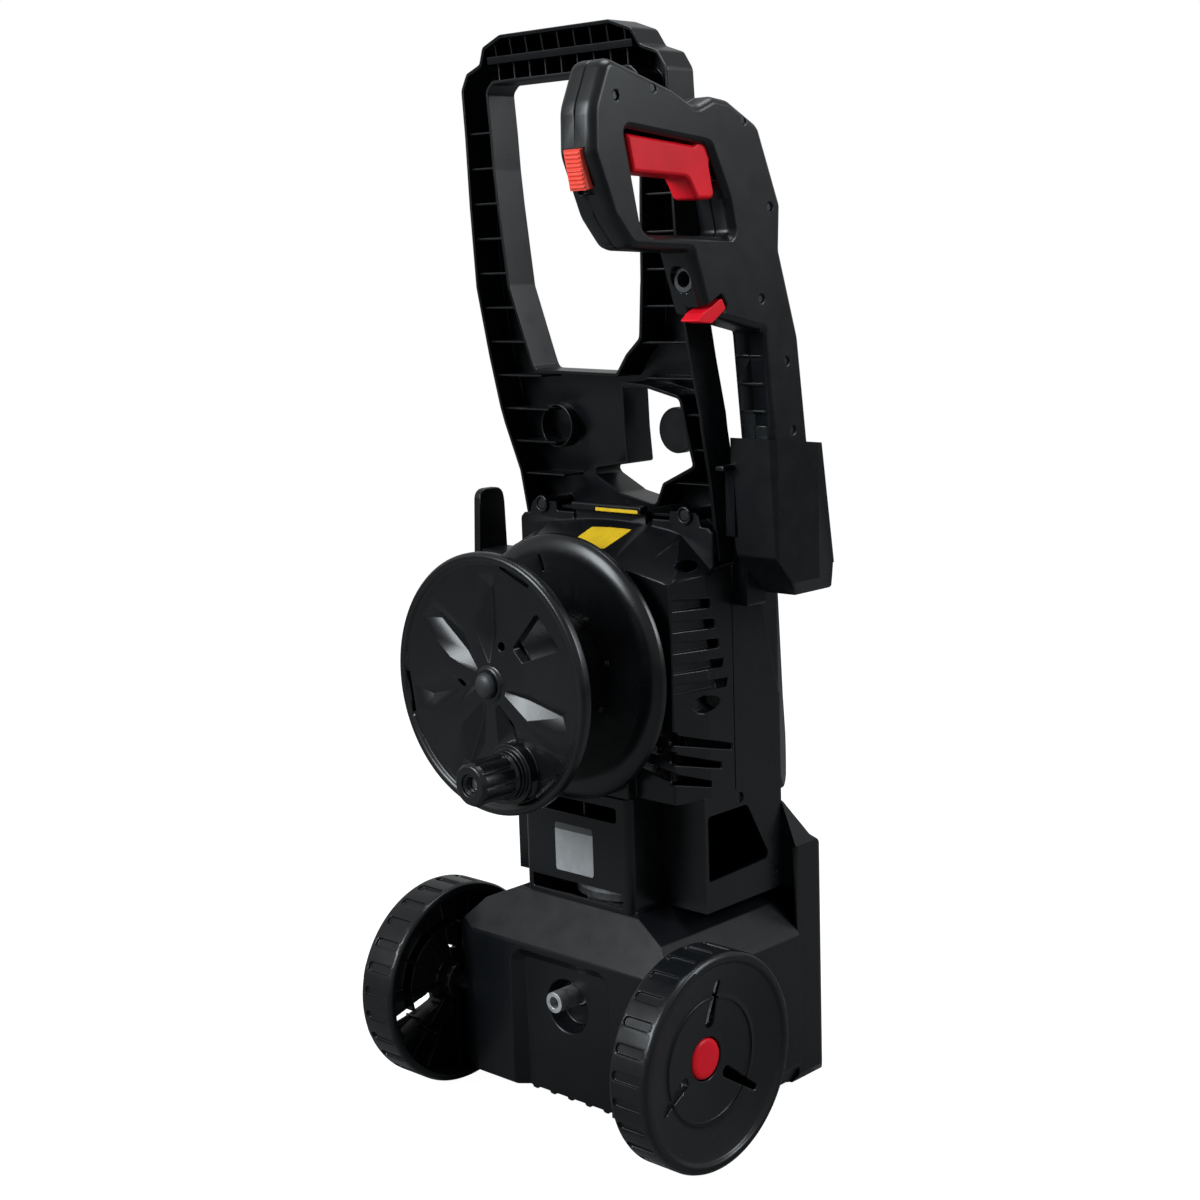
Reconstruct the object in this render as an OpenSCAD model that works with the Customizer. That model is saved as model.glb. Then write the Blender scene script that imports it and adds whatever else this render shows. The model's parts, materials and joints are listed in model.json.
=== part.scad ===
// Upright electric pressure washer on two wheels. A hose reel turns on its back and its
// trigger gun stands in a holster cup on the right. Millimetres, +Z up, front at +Y.
// X = 0 is the middle of the machine, Z = 0 is the ground, seen from behind +X is right.

/* [Wheels] */
// Radius of a wheel over its tread
wheel_r = 90; // [84:0.5:94]
// Width of a wheel along its axle
wheel_w = 39.7; // [34:0.1:46]
// Thickness of the tyre wall
tyre_t = 7; // [5:0.5:9]
// Thickness of the dished web
web_t = 3; // [2:0.5:4]
// Depth from the rim's outer face down to the hub
dish_depth = 17; // [12:0.5:20]
// Number of tread pockets round the tyre
tread_count = 26; // [18:1:30]
// Width of one tread pocket
tread_w = 8; // [5:0.5:10]
// Depth of one tread pocket
tread_d = 2.2; // [1:0.1:3]
// Number of stiffening ribs on the inner side of a wheel
wheel_ribs = 12; // [6:1:16]
// Radius of a wheel's hub
wheel_hub_r = 20; // [17:0.5:24]
// Radius of the pin that a wheel turns on
wheel_pin_r = 8; // [6:0.5:10]
// Radius of the round cap on a wheel pin
wheel_cap_r = 17; // [14:0.5:19]
// How far the wheel pins stand behind the middle of the machine
axle_back = 38; // [32:1:42]

/* [Base] */
// Width of the base between the wheels
base_w = 256; // [246:1:262]
// Distance from the middle of the machine back to the base's rear face
base_back = 50; // [47:1:56]
// Height of the rear flares
flare_top = 147; // [140:1:152]
// Height of the base's top, where the column stands on it
base_top = 187; // [182:1:192]
// Clearance between the ground and the base
base_gap = 16; // [12:1:20]
// Width of the arch recess between the flares
arch_w = 116; // [100:1:124]
// Depth of the arch recess
arch_d = 10; // [7:0.5:12]
// Height of the arch recess over the ground
arch_top = 142; // [134:1:144]
// Wall thickness of every moulded housing
wall = 3; // [2.4:0.1:3.6]

/* [Body] */
// Width of the label column
column_w = 124; // [118:1:128]
// Distance from the middle of the machine back to the column's rear face
column_back = 23; // [21:1:25]
// Distance from the middle of the machine forward to the side frame's rear face
frame_rear = 17; // [12:1:22]
// Height of the seam under the motor hood
hood_seam = 285; // [280:1:290]
// Width of the hood and of the side frame
hood_w = 220; // [214:1:224]
// Distance from the middle of the machine back to the hood's rear face
hood_back = 13; // [11:1:15]
// Height of the hood's rear top edge at its middle
hood_eave = 478.5; // [474:0.5:482]
// Height of the hood's roof
roof_z = 512; // [508:1:518]
// Distance forward to the crest where the sloping roof turns level
roof_crest = 43; // [40:1:46]
// Radius of the crown across the sloping roof
crown_r = 520; // [460:10:700]
// How far the roof's shoulders fall towards the sides
shoulder_drop = 38; // [32:1:40]
// Distance forward to the seam between the hood and the front shell
hood_front = 58; // [54:1:62]
// Distance forward to the seam of the lower front cover
base_front = 118; // [114:1:121]
// Distance forward to the front of the machine
front_y = 167; // [164:1:172]
// Width of the lower front cover
cover_w = 250; // [244:1:254]
// Width of the upper front cover
bulge_w = 194; // [184:1:204]
// Number of wedge louvres on each side of the hood
louvres = 5; // [3:1:5]
// Height of one wedge louvre at its rear end
louvre_h = 9; // [6:0.5:10]
// Distance from one wedge louvre to the next
louvre_pitch = 17.2; // [16:0.1:18]
// Depth of a louvre's ramp under the side of the hood
louvre_d = 6.8; // [6:0.1:7.5]
// Number of slots that run round the hood's lower corners
corner_slots = 3; // [1:1:3]
// Distance from one corner slot to the next
slot_pitch = 16.5; // [15:0.5:17]

/* [Reel] */
// Height of the reel's axis
reel_z = 391; // [386:1:396]
// Radius of the front flange of the reel
reel_front_r = 107; // [100:0.5:110]
// Radius of the rear flange of the reel
reel_rear_r = 112; // [104:0.5:116]
// Distance back to the face of the front flange
reel_face = 118; // [114:0.5:122]
// Radius of the drum
drum_r = 46; // [40:0.5:54]
// Radius of the spindle that the reel turns on
spindle_r = 10; // [8:0.5:12]
// Distance from the reel's axis to the crank's axis
crank_throw = 73; // [68:0.5:77]
// Angle of the crank below the horizontal at rest
crank_angle = 68; // [50:1:80]
// Radius of the crank knob
knob_r = 18; // [15:0.5:20]
// Distance back to the tip of the crank knob
knob_tip = 167; // [160:0.5:172]
// Number of flutes round the crank knob
knob_flutes = 10; // [8:1:16]
// Number of sectors round the front flange, one with the window and a petal in each of the others
sectors = 7; // [5:1:8]
// Depth of the petals
petal_d = 7; // [4:0.5:8]

/* [Handle] */
// Height of the top of the grip
grip_top = 907; // [895:1:915]
// Height of the grip band, measured down from its top
grip_h = 38; // [32:1:44]
// Width over the handle's legs
handle_w = 230; // [224:1:236]
// Depth of the handle's open channel
channel_d = 31; // [27:0.5:35]
// Width of one leg where it meets the grip
leg_w = 32; // [28:0.5:36]
// Height of the lower edge of the grip window
window_low = 634; // [630:1:640]
// Thickness of the ribs inside the channel
rib_t = 2; // [1.5:0.1:3]

/* [Holster and hook] */
// Distance from the side of the handle to the middle of the gun
gun_out = 28.5; // [28:0.5:30]
// Width of the holster cup
cup_w = 43; // [42:0.5:45]
// Wall thickness of the holster cup
cup_t = 2.6; // [2:0.1:2.8]
// Height of the holster cup's lowest point
cup_low = 450; // [446:1:454]
// Height of the holster cup's rim
cup_top = 580; // [576:1:584]
// Distance from the middle of the machine to the cord hook's outer face
hook_x = 149; // [144:1:154]
// Height of the cord hook's tip
hook_top = 527; // [520:1:534]

/* [Gun] */
// Thickness of the gun
gun_t = 36; // [34:0.5:37]
// Thickness of the trigger
trigger_t = 25; // [22:0.5:27]
// Radius of the trigger's pivot pin
trigger_pin_r = 2.5; // [2:0.1:3]
// Width of the safety slider
safety_w = 16; // [13:0.5:18]
// Height of the safety slider
safety_h = 29; // [25:0.5:31]
// Travel of the safety slider
safety_travel = 4.5; // [3:0.5:5]
// Radius of the gun's hose port tube
port_r = 10; // [8:0.5:11]
// Radius of the hose port's bore
port_bore = 6; // [4:0.5:7]
// Radius of the lance tube
lance_r = 9; // [7:0.5:11]
// Radius of the nozzle head
nozzle_r = 15; // [13:0.5:16]

/* [Pump and motor] */
// Distance forward from the middle of the machine to the motor's axis
motor_y = 46; // [44:1:48]
// Radius of the motor can
motor_r = 49; // [44:0.5:50]
// Height of the motor can's lower face
motor_low = 246; // [240:1:250]
// Length of the motor can
motor_h = 160; // [140:1:165]
// Wall thickness of the motor can
can_t = 2; // [1.5:0.1:3]
// Radius of the rotor inside the motor can
rotor_r = 30; // [24:0.5:34]
// Radius of the motor shaft
shaft_r = 7; // [5:0.5:8]
// Radius of the cooling fan
fan_r = 44; // [38:0.5:46]
// Number of fan blades
fan_blades = 9; // [5:1:11]
// Height of the pump head's lower face
pump_low = 78; // [74:1:82]
// Radius of a pump piston
piston_r = 7; // [5:0.5:8]
// Stroke of a pump piston
piston_stroke = 5; // [3:0.5:6]
// Tilt of the swash plate
swash_tilt = 6; // [4:0.5:7]
// Height of the water outlet and inlet
port_z = 106; // [102:1:110]
// Outer radius of the water outlet tube
outlet_r = 9; // [8:0.5:10]
// Radius of the water outlet's bore
outlet_bore = 5; // [4:0.5:6]
// Distance back to the tip of the water outlet
outlet_tip = 56; // [53:0.5:60]
// Outer radius of the water inlet's tail
inlet_r = 7.5; // [6:0.5:9]
// Radius of the on and off switch knob
switch_r = 24; // [20:0.5:26]

/* [Hidden] */

$fn = 72;
// Number of flat steps in a rounded corner
steps = 4;
// Gap between pieces that lie against each other without touching
seat_gap = 0.3;
// Radial clearance of every running fit
run_gap = 0.05;
// Extra length of a cut past the face that it opens
over = 1;

black = "#17181a";
dark = "#222427";
red = "#d3121b";
orange = "#e8412f";
zinc = "#8f9396";
steel = "#a9adb2";
brass = "#b08d4a";
rubber = "#1b1b1c";

// ---- Outline helpers: an outline is a list of [across, up, corner radius], anticlockwise ----

function unit(v) = v / norm(v);
function point(p) = [p[0], p[1]];
function corner(a, b, c, r, n) =
    let (u = unit(a - b), v = unit(c - b), half = acos(max(-1, min(1, u * v))) / 2,
        reach = min(r / tan(half), norm(a - b) / 2.001, norm(c - b) / 2.001),
        rr = reach * tan(half), mid = b + unit(u + v) * rr / sin(half),
        start = b + u * reach - mid, end = b + v * reach - mid,
        turn = atan2(start[0] * end[1] - start[1] * end[0], start * end),
        from = atan2(start[1], start[0]))
    [for (i = [0:n]) mid + norm(start) * [cos(from + turn * i / n), sin(from + turn * i / n)]];
function rounded(o, n = steps) =
    [for (i = [0:len(o) - 1])
        let (a = point(o[(i + len(o) - 1) % len(o)]), b = point(o[i]), c = point(o[(i + 1) % len(o)]))
        each (o[i][2] > 0 ? corner(a, b, c, o[i][2], n) : [b])];
function bend(a, b, c) = let (u = b - a, v = c - b) u[0] * v[1] - u[1] * v[0];
function inset(o, e) =
    [for (i = [0:len(o) - 1])
        let (a = point(o[(i + len(o) - 1) % len(o)]), b = point(o[i]), c = point(o[(i + 1) % len(o)]),
            u = unit(b - a), v = unit(c - b), n1 = [-u[1], u[0]], n2 = [-v[1], v[0]],
            p = b + (n1 + n2) * e / (1 + n1 * n2),
            r = o[i][2] + (bend(a, b, c) > 0 ? -e : e))
        [p[0], p[1], o[i][2] == 0 ? 0 : max(r, 0.2)]];
// Half outline on +X, from the bottom up, made whole by its mirror image
function mirrored(half) =
    concat(half, [for (i = [len(half) - 1:-1:0]) [-half[i][0], half[i][1], half[i][2]]]);

// Outline in (Y, Z) pulled along X, in (X, Z) pulled along Y, in (X, Y) pulled along Z
module prism_x(o, x0, x1) translate([x0, 0, 0]) rotate([90, 0, 90]) linear_extrude(x1 - x0) polygon(o);
module prism_y(o, y0, y1) translate([0, y1, 0]) rotate([90, 0, 0]) linear_extrude(y1 - y0) polygon(o);
module prism_z(o, z0, z1) translate([0, 0, z0]) linear_extrude(z1 - z0) polygon(o);
// Round bars along X and Y
module bar_x(x0, x1, y, z, r) translate([x0, y, z]) rotate([0, 90, 0]) cylinder(h = x1 - x0, r = r);
module bar_y(y0, y1, x, z, r) translate([x, y1, z]) rotate([90, 0, 0]) cylinder(h = y1 - y0, r = r);
module box(a, b) translate(a) cube(b - a);
// The same piece on both sides of the machine
module both_sides() {
    children();
    mirror([1, 0, 0]) children();
}

// Solid between outlines of equal length: stations is a list of [place along the axis, inset]
module lofted(o, stations) {
    rings = [for (s = stations) [for (p = rounded(inset(o, s[1]))) [p[0], p[1], s[0]]]];
    n = len(rings[0]);
    m = len(rings);
    points = [for (ring = rings) each ring];
    sides = [for (k = [0:m - 2]) for (i = [0:n - 1])
        each [[k * n + i, (k + 1) * n + i, (k + 1) * n + (i + 1) % n],
            [k * n + i, (k + 1) * n + (i + 1) % n, k * n + (i + 1) % n]]];
    caps = [[for (i = [0:n - 1]) i], [for (i = [n - 1:-1:0]) (m - 1) * n + i]];
    polyhedron(points, concat(sides, caps));
}
// The same along X, with the outline in (Y, Z)
module lofted_x(o, stations) rotate([90, 0, 90]) lofted(o, stations);

// ---- Places worked out from the driving sizes ----

base_half = base_w / 2;
column_half = column_w / 2;
hood_half = hood_w / 2;
cover_half = cover_w / 2;
bulge_half = bulge_w / 2;
handle_half = handle_w / 2;
shoulder_z = roof_z - shoulder_drop;
shoulder_x = hood_half - 36;
gun_x = handle_half + gun_out;
floor_low = base_gap - 8;
cover_top = 262;
bulge_top = roof_z - 33;
deck_half = column_half - wall;
wheel_in = base_half + seat_gap;
wheel_out = wheel_in + wheel_w;
hub_face = dish_depth + 2;
hub_end = wheel_w - 5.7;
boss_depth = 24;
bead = 10;

// ---- Lower housing: base and column in one shell ----

function base_side(front) = [[-base_back, base_gap, 4], [front, floor_low + 2, 0], [front, base_top, 0],
    [-column_back - 1, base_top, 3], [-base_back, flare_top, 8]];
function base_rear() = mirrored([[base_half - 12, floor_low + 2, 5], [base_half, base_gap + 14, 6],
    [base_half, flare_top - 1, 8], [base_half - 24, base_top - 15, 6], [column_half + 8, base_top, 4]]);
function base_plan(front) = mirrored([[base_half - 23, -base_back, 6], [base_half, -base_back + 8, 5],
    [base_half, front, 0]]);
module base_block(e, front) {
    intersection() {
        prism_x(rounded(inset(base_side(front), e)), -base_half, base_half);
        prism_y(rounded(inset(base_rear(), e)), -base_back - over, front + over);
        prism_z(rounded(inset(base_plan(front), e)), 0, base_top + over);
    }
}
// Sloped recess between the flares; grown by e where the inner cavity keeps clear of it
module arch(e) {
    outline = mirrored([[arch_w / 2, -20, 0], [arch_w / 2, arch_top, 14]]);
    rotate([90, 0, 0])
        lofted(outline, [[base_back - arch_d - e, arch_d - 1 - e], [base_back + over, -over - e]]);
}
// Round funnel in the recess, round the water outlet
funnel_d = 14;
outlet_step = 1.5;
module outlet_funnel(e) {
    translate([0, arch_d - base_back + funnel_d + e, port_z - 8]) rotate([90, 0, 0])
        cylinder(h = funnel_d + e + over, r1 = outlet_r + 10 + e, r2 = outlet_r + 15 + e);
}
module column_block(e, front, z0, z1) {
    outline = mirrored([[column_half, -column_back, 7], [column_half, front, 0]]);
    prism_z(rounded(inset(outline, e)), z0, z1);
}
module column_slot(half, low, high) {
    outline = mirrored([[half, low, 2], [half, high, 2]]);
    prism_y(rounded(outline), -column_back - over, -column_back + wall + over);
}
module rear_shell() {
    color(black) difference() {
        union() {
            difference() {
                base_block(0, base_front);
                difference() {
                    base_block(wall, base_front + wall + over);
                    arch(wall);
                    outlet_funnel(wall);
                }
            }
            column_block(0, frame_rear, base_top - bead, hood_seam);
            intersection() {
                base_block(0, base_front);
                union() {
                    both_sides() bar_x(base_half - boss_depth, base_half, -axle_back, wheel_r, wheel_pin_r + 7);
                    // Saddle plates that carry the pump head
                    both_sides() box([28, motor_y - 34, floor_low], [28 + wall, motor_y + 34, pump_low]);
                }
            }
            // Stiffening beads under the base
            for (i = [-2:2]) bar_y(-base_back + arch_d, base_front - 40, i * 21, base_gap + 1, 4);
        }
        column_block(wall, frame_rear + wall + over, base_top - bead - over, hood_seam + over);
        // Deck opening for the pump and the motor
        box([-deck_half, -column_back + bead, base_top - wall - over],
            [deck_half, motor_y + motor_r + 4, base_top + over]);
        arch(0);
        outlet_funnel(0);
        bar_y(-base_back, motor_y, 0, port_z, outlet_r + outlet_step + seat_gap);
        column_slot(column_half - 9, base_top + 4, base_top + 16);
        column_slot(column_half - 15, hood_seam - 22, hood_seam - 10);
        both_sides() bar_x(base_half - boss_depth, base_half + over, -axle_back, wheel_r, wheel_pin_r + run_gap);
    }
}

// ---- Motor hood ----

function body_rear(low) = mirrored([[hood_half, low, 0], [hood_half, shoulder_z, 4],
    [shoulder_x, roof_z - 8, 12], [shoulder_x / 2, roof_z, 150]]);
hood_taper = 5.5;
function hood_plan(front) = mirrored([[hood_half - hood_taper, -hood_back, 2], [hood_half, 26, 10],
    [hood_half, front, 0]]);
roof_tilt = atan2(roof_z - hood_eave, roof_crest + hood_back);
// Everything under the crowned slope that rises from the rear top edge to the crest
module roof_crown(e) {
    translate([0, -hood_back, hood_eave]) rotate([roof_tilt, 0, 0])
        translate([0, -240, -crown_r]) rotate([-90, 0, 0]) cylinder(h = 480, r = crown_r - e, $fn = 360);
}
// The shoulders, tilted so that they run down into the rear corners
shoulder_tilt = 6.4;
module hood_block(e, front) {
    side = [[-hood_back, hood_seam, 0], [front, hood_seam, 0], [front, roof_z, 0], [-hood_back, roof_z, 0]];
    intersection() {
        prism_x(rounded(inset(side, e)), -hood_half, hood_half);
        translate([0, hood_front, shoulder_z]) rotate([shoulder_tilt, 0, 0]) translate([0, -hood_front, -shoulder_z])
            prism_y(rounded(inset(body_rear(hood_seam - 40), e)), -hood_back - 40, front + over);
        prism_z(rounded(inset(hood_plan(front), e)), hood_seam - over, roof_z + over);
        roof_crown(e);
    }
}
// Louvres: pockets in the side whose ramps sink towards an opening at the front end
louvre_top = hood_eave - 24.5;
function louvre_end(i) = 31 + 4.6 * i;
module louvre(i) {
    z = louvre_top - i * louvre_pitch;
    end = louvre_end(i);
    prism_x([[-hood_back + 2.5, z - louvre_h], [end, z - louvre_h - 2], [end, z - 4], [-hood_back + 2.5, z]],
        hood_half - louvre_d, hood_half + over);
}
// The wall behind the ramps; it stops short of each louvre's front end and leaves the opening there
module louvre_wall() {
    last = louvres - 1;
    low = louvre_top - last * louvre_pitch - louvre_h - 5;
    prism_x([[-hood_back + over, low], [louvre_end(last) - 6, low], [louvre_end(0) - 6, louvre_top + 3],
        [-hood_back + over, louvre_top + 3]], hood_half - louvre_d - wall, hood_half - 0.5);
}
// Slot that runs down the rear face, round the corner and along the side
module corner_slot(k) {
    z = hood_seam + 18 + (corner_slots - 1 - k) * slot_pitch;
    end = hood_front - 4 - 13.5 * k;
    drop = 0.24 * (end + hood_back);
    prism_x([[-hood_back - over, z], [end, z - drop], [end, z - drop + 5], [-hood_back - over, z + 9]],
        hood_half - hood_taper - wall - 1.5, hood_half + over);
    prism_y([[hood_half - 44, z + 9], [hood_half + over, z], [hood_half + over, z + 9], [hood_half - 44, z + 16]],
        -hood_back - over, -hood_back + wall + over);
}
// Slanted screw wells in the side and in the roof
module screw_wells(e) {
    translate([hood_half - 2, 25, reel_z - 27]) rotate([90, 0, 20]) translate([0, 0, -18])
        cylinder(h = 60, r = 7 + e);
    translate([hood_half - 11.5, 15, shoulder_z + 4]) rotate([-108, 0, 15]) translate([0, 0, -22])
        cylinder(h = 46, r = 6 + e);
}
ear_x = 82;
ear_y = 34;
ear_z = roof_z + 4;
ear_ring = 7.5;
module ear() {
    outline = [[45, roof_z - 20, 0], [shoulder_x, roof_z - 20, 0], [hood_half - 3, shoulder_z - 2, 0],
        [hood_half, shoulder_z + 2, 0], [hood_half, ear_z - 13, 3], [ear_x + 24, ear_z - 9, 1.5],
        [ear_x + 16, ear_z - 8.5, 1], [ear_x + 13, ear_z, 1.5], [ear_x + 11, ear_z + 2.5, 1],
        [ear_x - 16, ear_z + 2.5, 1], [ear_x - 17.5, ear_z - 5, 1], [45, ear_z - 5, 1.5]];
    difference() {
        union() {
            prism_y(rounded(outline), ear_y, ear_y + wall);
            bar_y(ear_y - 2.5, ear_y + wall, ear_x, ear_z, ear_ring);
        }
        bar_y(ear_y - 2.5 - over, ear_y + 1, ear_x, ear_z, ear_ring - wall + seat_gap);
        bar_y(ear_y, ear_y + wall + over, ear_x, ear_z, 3 + run_gap);
    }
}
module motor_hood() {
    pad_top = reel_z - 40;
    color(black) difference() {
        union() {
            difference() {
                hood_block(0, hood_front);
                hood_block(wall, hood_front + wall + over);
            }
            prism_x([[-column_back, hood_seam], [-hood_back + over, hood_seam], [-hood_back + over, pad_top + bead],
                [-column_back, pad_top]], -column_half, column_half);
            bar_y(-column_back - 1, -hood_back + over, 0, reel_z, 36);
            both_sides() ear();
            // Ledge between the ears
            prism_x(rounded([[ear_y, roof_z - 8, 0], [ear_y + wall, roof_z - 8, 0], [ear_y + wall, roof_z + 9, 1],
                [ear_y - 6, roof_z + 9, 2], [ear_y - 6, roof_z + 1.5, 2], [ear_y, roof_z + 1.5, 1]]), -42, 38);
            intersection() {
                hood_block(0, hood_front);
                union() {
                    both_sides() louvre_wall();
                    screw_wells(wall - 0.5);
                    mirror([1, 0, 0]) screw_wells(wall - 0.5);
                }
            }
        }
        // Opening round the motor in the hood's floor
        box([-deck_half, -hood_back + wall, hood_seam - over], [deck_half, hood_front + over, hood_seam + wall + over]);
        both_sides() {
            for (i = [0:louvres - 1]) louvre(i);
            for (k = [0:corner_slots - 1]) corner_slot(k);
            screw_wells(0);
        }
        bar_y(-column_back - bead, 0, 0, reel_z, spindle_r + run_gap);
    }
}

// ---- Front shell: the side frame that ties base, hood and handle together ----

shell_lip_y = base_front - 27;
shell_lip_z = roof_z - 47;
shell_bend_z = roof_z - 153;
function shell_side() = [[frame_rear, base_top, 0], [base_front, base_top, 0], [base_front, shell_bend_z, 0],
    [shell_lip_y, shell_lip_z, 0], [shell_lip_y - 11, roof_z, 0], [hood_front, roof_z, 0],
    [hood_front, hood_seam, 0], [frame_rear, hood_seam, 0]];
module shell_block(e) {
    intersection() {
        prism_x(rounded(inset(shell_side(), e)), -hood_half, hood_half);
        prism_y(rounded(inset(body_rear(base_top), e)), 0, base_front + over);
    }
}
window_points = [[frame_rear + 4, base_top + 26, 3], [base_front - 16, base_top + 29, 5],
    [base_front - 46, hood_seam - 16, 5], [frame_rear + 4, hood_seam - 16, 3]];
// Places of the frame screws in (Y, Z)
frame_screws = [[hood_front + 5, hood_seam - 8], [base_front - 9, base_top + 15]];
module front_shell() {
    color(black) difference() {
        union() {
            difference() {
                shell_block(0);
                shell_block(wall);
            }
            intersection() {
                shell_block(0);
                both_sides() for (s = frame_screws) bar_x(hood_half - 16, hood_half, s[0], s[1], 8);
            }
        }
        // Open towards the column, the hood, the deck and both front covers
        box([-deck_half, frame_rear - over, base_top - over], [deck_half, base_front - bead, hood_seam + over]);
        box([-hood_half + wall, hood_front - over, hood_seam - wall], [hood_half - wall, hood_front + wall + over,
            shoulder_z - wall]);
        box([-bulge_half + wall, shell_lip_y - bead, cover_top + wall + over],
            [bulge_half - wall, base_front + over, shell_lip_z - wall]);
        box([-hood_half + 2 * wall, base_front - wall - over, base_top + 2 * wall],
            [hood_half - 2 * wall, base_front + over, cover_top - 2 * wall]);
        both_sides() {
            prism_x(rounded(window_points), hood_half - wall - over, hood_half + over);
            for (s = frame_screws) {
                bar_x(hood_half - 5, hood_half + over, s[0], s[1], 4.5);
                bar_x(hood_half - 15, hood_half, s[0], s[1], 2.5);
            }
        }
    }
}
module shell_screws() {
    color(steel) both_sides() for (s = frame_screws) {
        bar_x(hood_half - 5, hood_half - 2.4, s[0], s[1], 4.3);
        bar_x(hood_half - 14, hood_half - 4.9, s[0], s[1], 2.5 - run_gap);
    }
}

// ---- Front covers ----

bulge_low = cover_top + seat_gap;
function bulge_side() = [[base_front, bulge_low, 0], [base_front + 15, bulge_low - 4, 6],
    [front_y - 9, bulge_low + 5, 10], [front_y, bulge_low + 29, 14], [front_y - 12, bulge_low + 84, 30],
    [front_y - 31, bulge_top - 29, 14], [shell_lip_y + 9, bulge_top, 4],
    [shell_lip_y - 11 * (bulge_top - shell_lip_z) / 47, bulge_top, 0], [shell_lip_y, shell_lip_z, 0],
    [base_front, shell_bend_z, 0]];
module bulge_block(e, shift) {
    rear = mirrored([[bulge_half - 12, bulge_low - 5, 12], [bulge_half, bulge_low + 20, 14],
        [bulge_half, bulge_top - 12, 12], [bulge_half - 10, bulge_top, 8]]);
    translate([0, -shift, 0]) intersection() {
        prism_x(rounded(inset(bulge_side(), e)), -bulge_half, bulge_half);
        prism_y(rounded(inset(rear, e)), 0, front_y + over);
    }
}
module bulge_plan(e) {
    plan = mirrored([[bulge_half, 50, 0], [bulge_half, front_y - 34, 10], [bulge_half - 18, front_y, 14]]);
    prism_z(rounded(inset(plan, e)), 0, roof_z);
}
switch_y = front_y - 27;
switch_z = bulge_low + 138;
module front_cover_upper() {
    color(black) difference() {
        union() {
            difference() {
                intersection() {
                    bulge_block(0, 0);
                    bulge_plan(0);
                }
                intersection() {
                    union() {
                        bulge_block(wall, 0);
                        bulge_block(wall, wall + over);
                    }
                    bulge_plan(wall);
                }
            }
            intersection() {
                bulge_block(0, 0);
                bar_y(switch_y - 6, front_y, 0, switch_z, switch_r + 8);
            }
        }
        bar_y(switch_y, front_y + over, 0, switch_z, switch_r + 3);
        bar_y(switch_y - 6 - over, switch_y + over, 0, switch_z, shaft_r - 1 + run_gap);
    }
}
function cover_side(rear) = [[rear, floor_low, 0], [front_y - 9, floor_low, 8], [front_y, floor_low + 18, 8],
    [front_y, base_top + 18, 10], [front_y - 24, base_top + 42, 6], [base_front + 1, cover_top, 0],
    [rear, cover_top, 0]];
module cover_block(e, rear) {
    outline = mirrored([[cover_half - 8, floor_low, 5], [cover_half, floor_low + 10, 5],
        [cover_half, base_top + 36, 5], [hood_half, cover_top, 3]]);
    plan = mirrored([[cover_half, rear - over, 0], [cover_half, front_y - 16, 10], [cover_half - 14, front_y, 12]]);
    intersection() {
        prism_x(rounded(inset(cover_side(rear), e)), -cover_half, cover_half);
        prism_y(rounded(inset(outline, e)), rear - over, front_y + over);
        prism_z(rounded(inset(plan, e)), 0, cover_top + over);
    }
}
inlet_seat = front_y - 18;
module front_cover_lower() {
    color(black) difference() {
        union() {
            difference() {
                cover_block(0, base_front);
                cover_block(wall, base_front - wall - over);
            }
            intersection() {
                cover_block(0, base_front);
                union() {
                    bar_y(inlet_seat - wall, front_y, 0, port_z, inlet_r + 16 + wall);
                    // Flange that closes the cover beside the front shell
                    both_sides() box([hood_half - 2 * wall, base_front, base_top], [cover_half, base_front + wall,
                        cover_top]);
                }
            }
        }
        bar_y(inlet_seat, front_y + over, 0, port_z, inlet_r + 16);
        bar_y(inlet_seat - wall - over, inlet_seat + over, 0, port_z, inlet_r + 1 + seat_gap);
    }
}
module front_feet() {
    color(rubber) both_sides() translate([cover_half - 32, front_y - 30, 0]) cylinder(h = floor_low, r1 = 11, r2 = 13);
}

// ---- Handle ----

// Rear edge of the handle as (Y, Z), from its foot to the top of the grip
lean = [[46, shoulder_z + 1], [35, 543], [22, 586], [8, 644], [-4, 703], [-8, 771], [-10, 830], [-13, grip_top - 26],
    [-18, grip_top]];
function band(rear_cut, front_cut) =
    concat([for (p = lean) [p[0] + channel_d - front_cut, p[1]]],
        [for (i = [len(lean) - 1:-1:0]) [lean[i][0] + rear_cut, lean[i][1]]]);
function handle_outline() = mirrored([[shoulder_x - 8, roof_z, 3], [hood_half - 2, shoulder_z + 3.5, 0],
    [hood_half, 545, 30], [handle_half, 600, 30],
    [handle_half, grip_top - 40, 10], [handle_half - 8, grip_top - 27, 5], [handle_half - 25, grip_top - 21, 4],
    [handle_half - 32, grip_top - 8, 6], [61, grip_top, 12]]);
grip_low = grip_top - grip_h;
leg_in = handle_half - leg_w;
grip_window = [[-62, window_low, 5], [31, window_low - 2, 3], [46, window_low + 14, 12], [63, window_low + 27, 8],
    [leg_in - 9, 705, 30], [leg_in - 2, 800, 30], [leg_in, grip_low - 6, 6], [leg_in - 7, grip_low, 5],
    [-leg_in + 7, grip_low, 5], [-leg_in, grip_low - 6, 6], [-leg_in + 2, 800, 30], [-leg_in + 9, 705, 30]];
low_window = [[-25, roof_z + 37, 4], [9, roof_z + 18, 14], [46, roof_z + 10, 6], [57, roof_z + 29, 6],
    [94, roof_z + 45, 4], [94, window_low - 22, 4], [62, window_low - 14, 4], [36, window_low - 12, 4],
    [24, roof_z + 44, 3]];
module handle_windows(e) {
    prism_y(rounded(inset(grip_window, -e)), -60, 100);
    prism_y(rounded(inset(low_window, -e)), -60, 100);
}
module handle_region(e, rear_cut, front_cut) {
    difference() {
        intersection() {
            prism_y(rounded(inset(handle_outline(), e)), -60, 100);
            prism_x(band(rear_cut, front_cut), -handle_half, handle_half);
        }
        handle_windows(e);
    }
}
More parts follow.
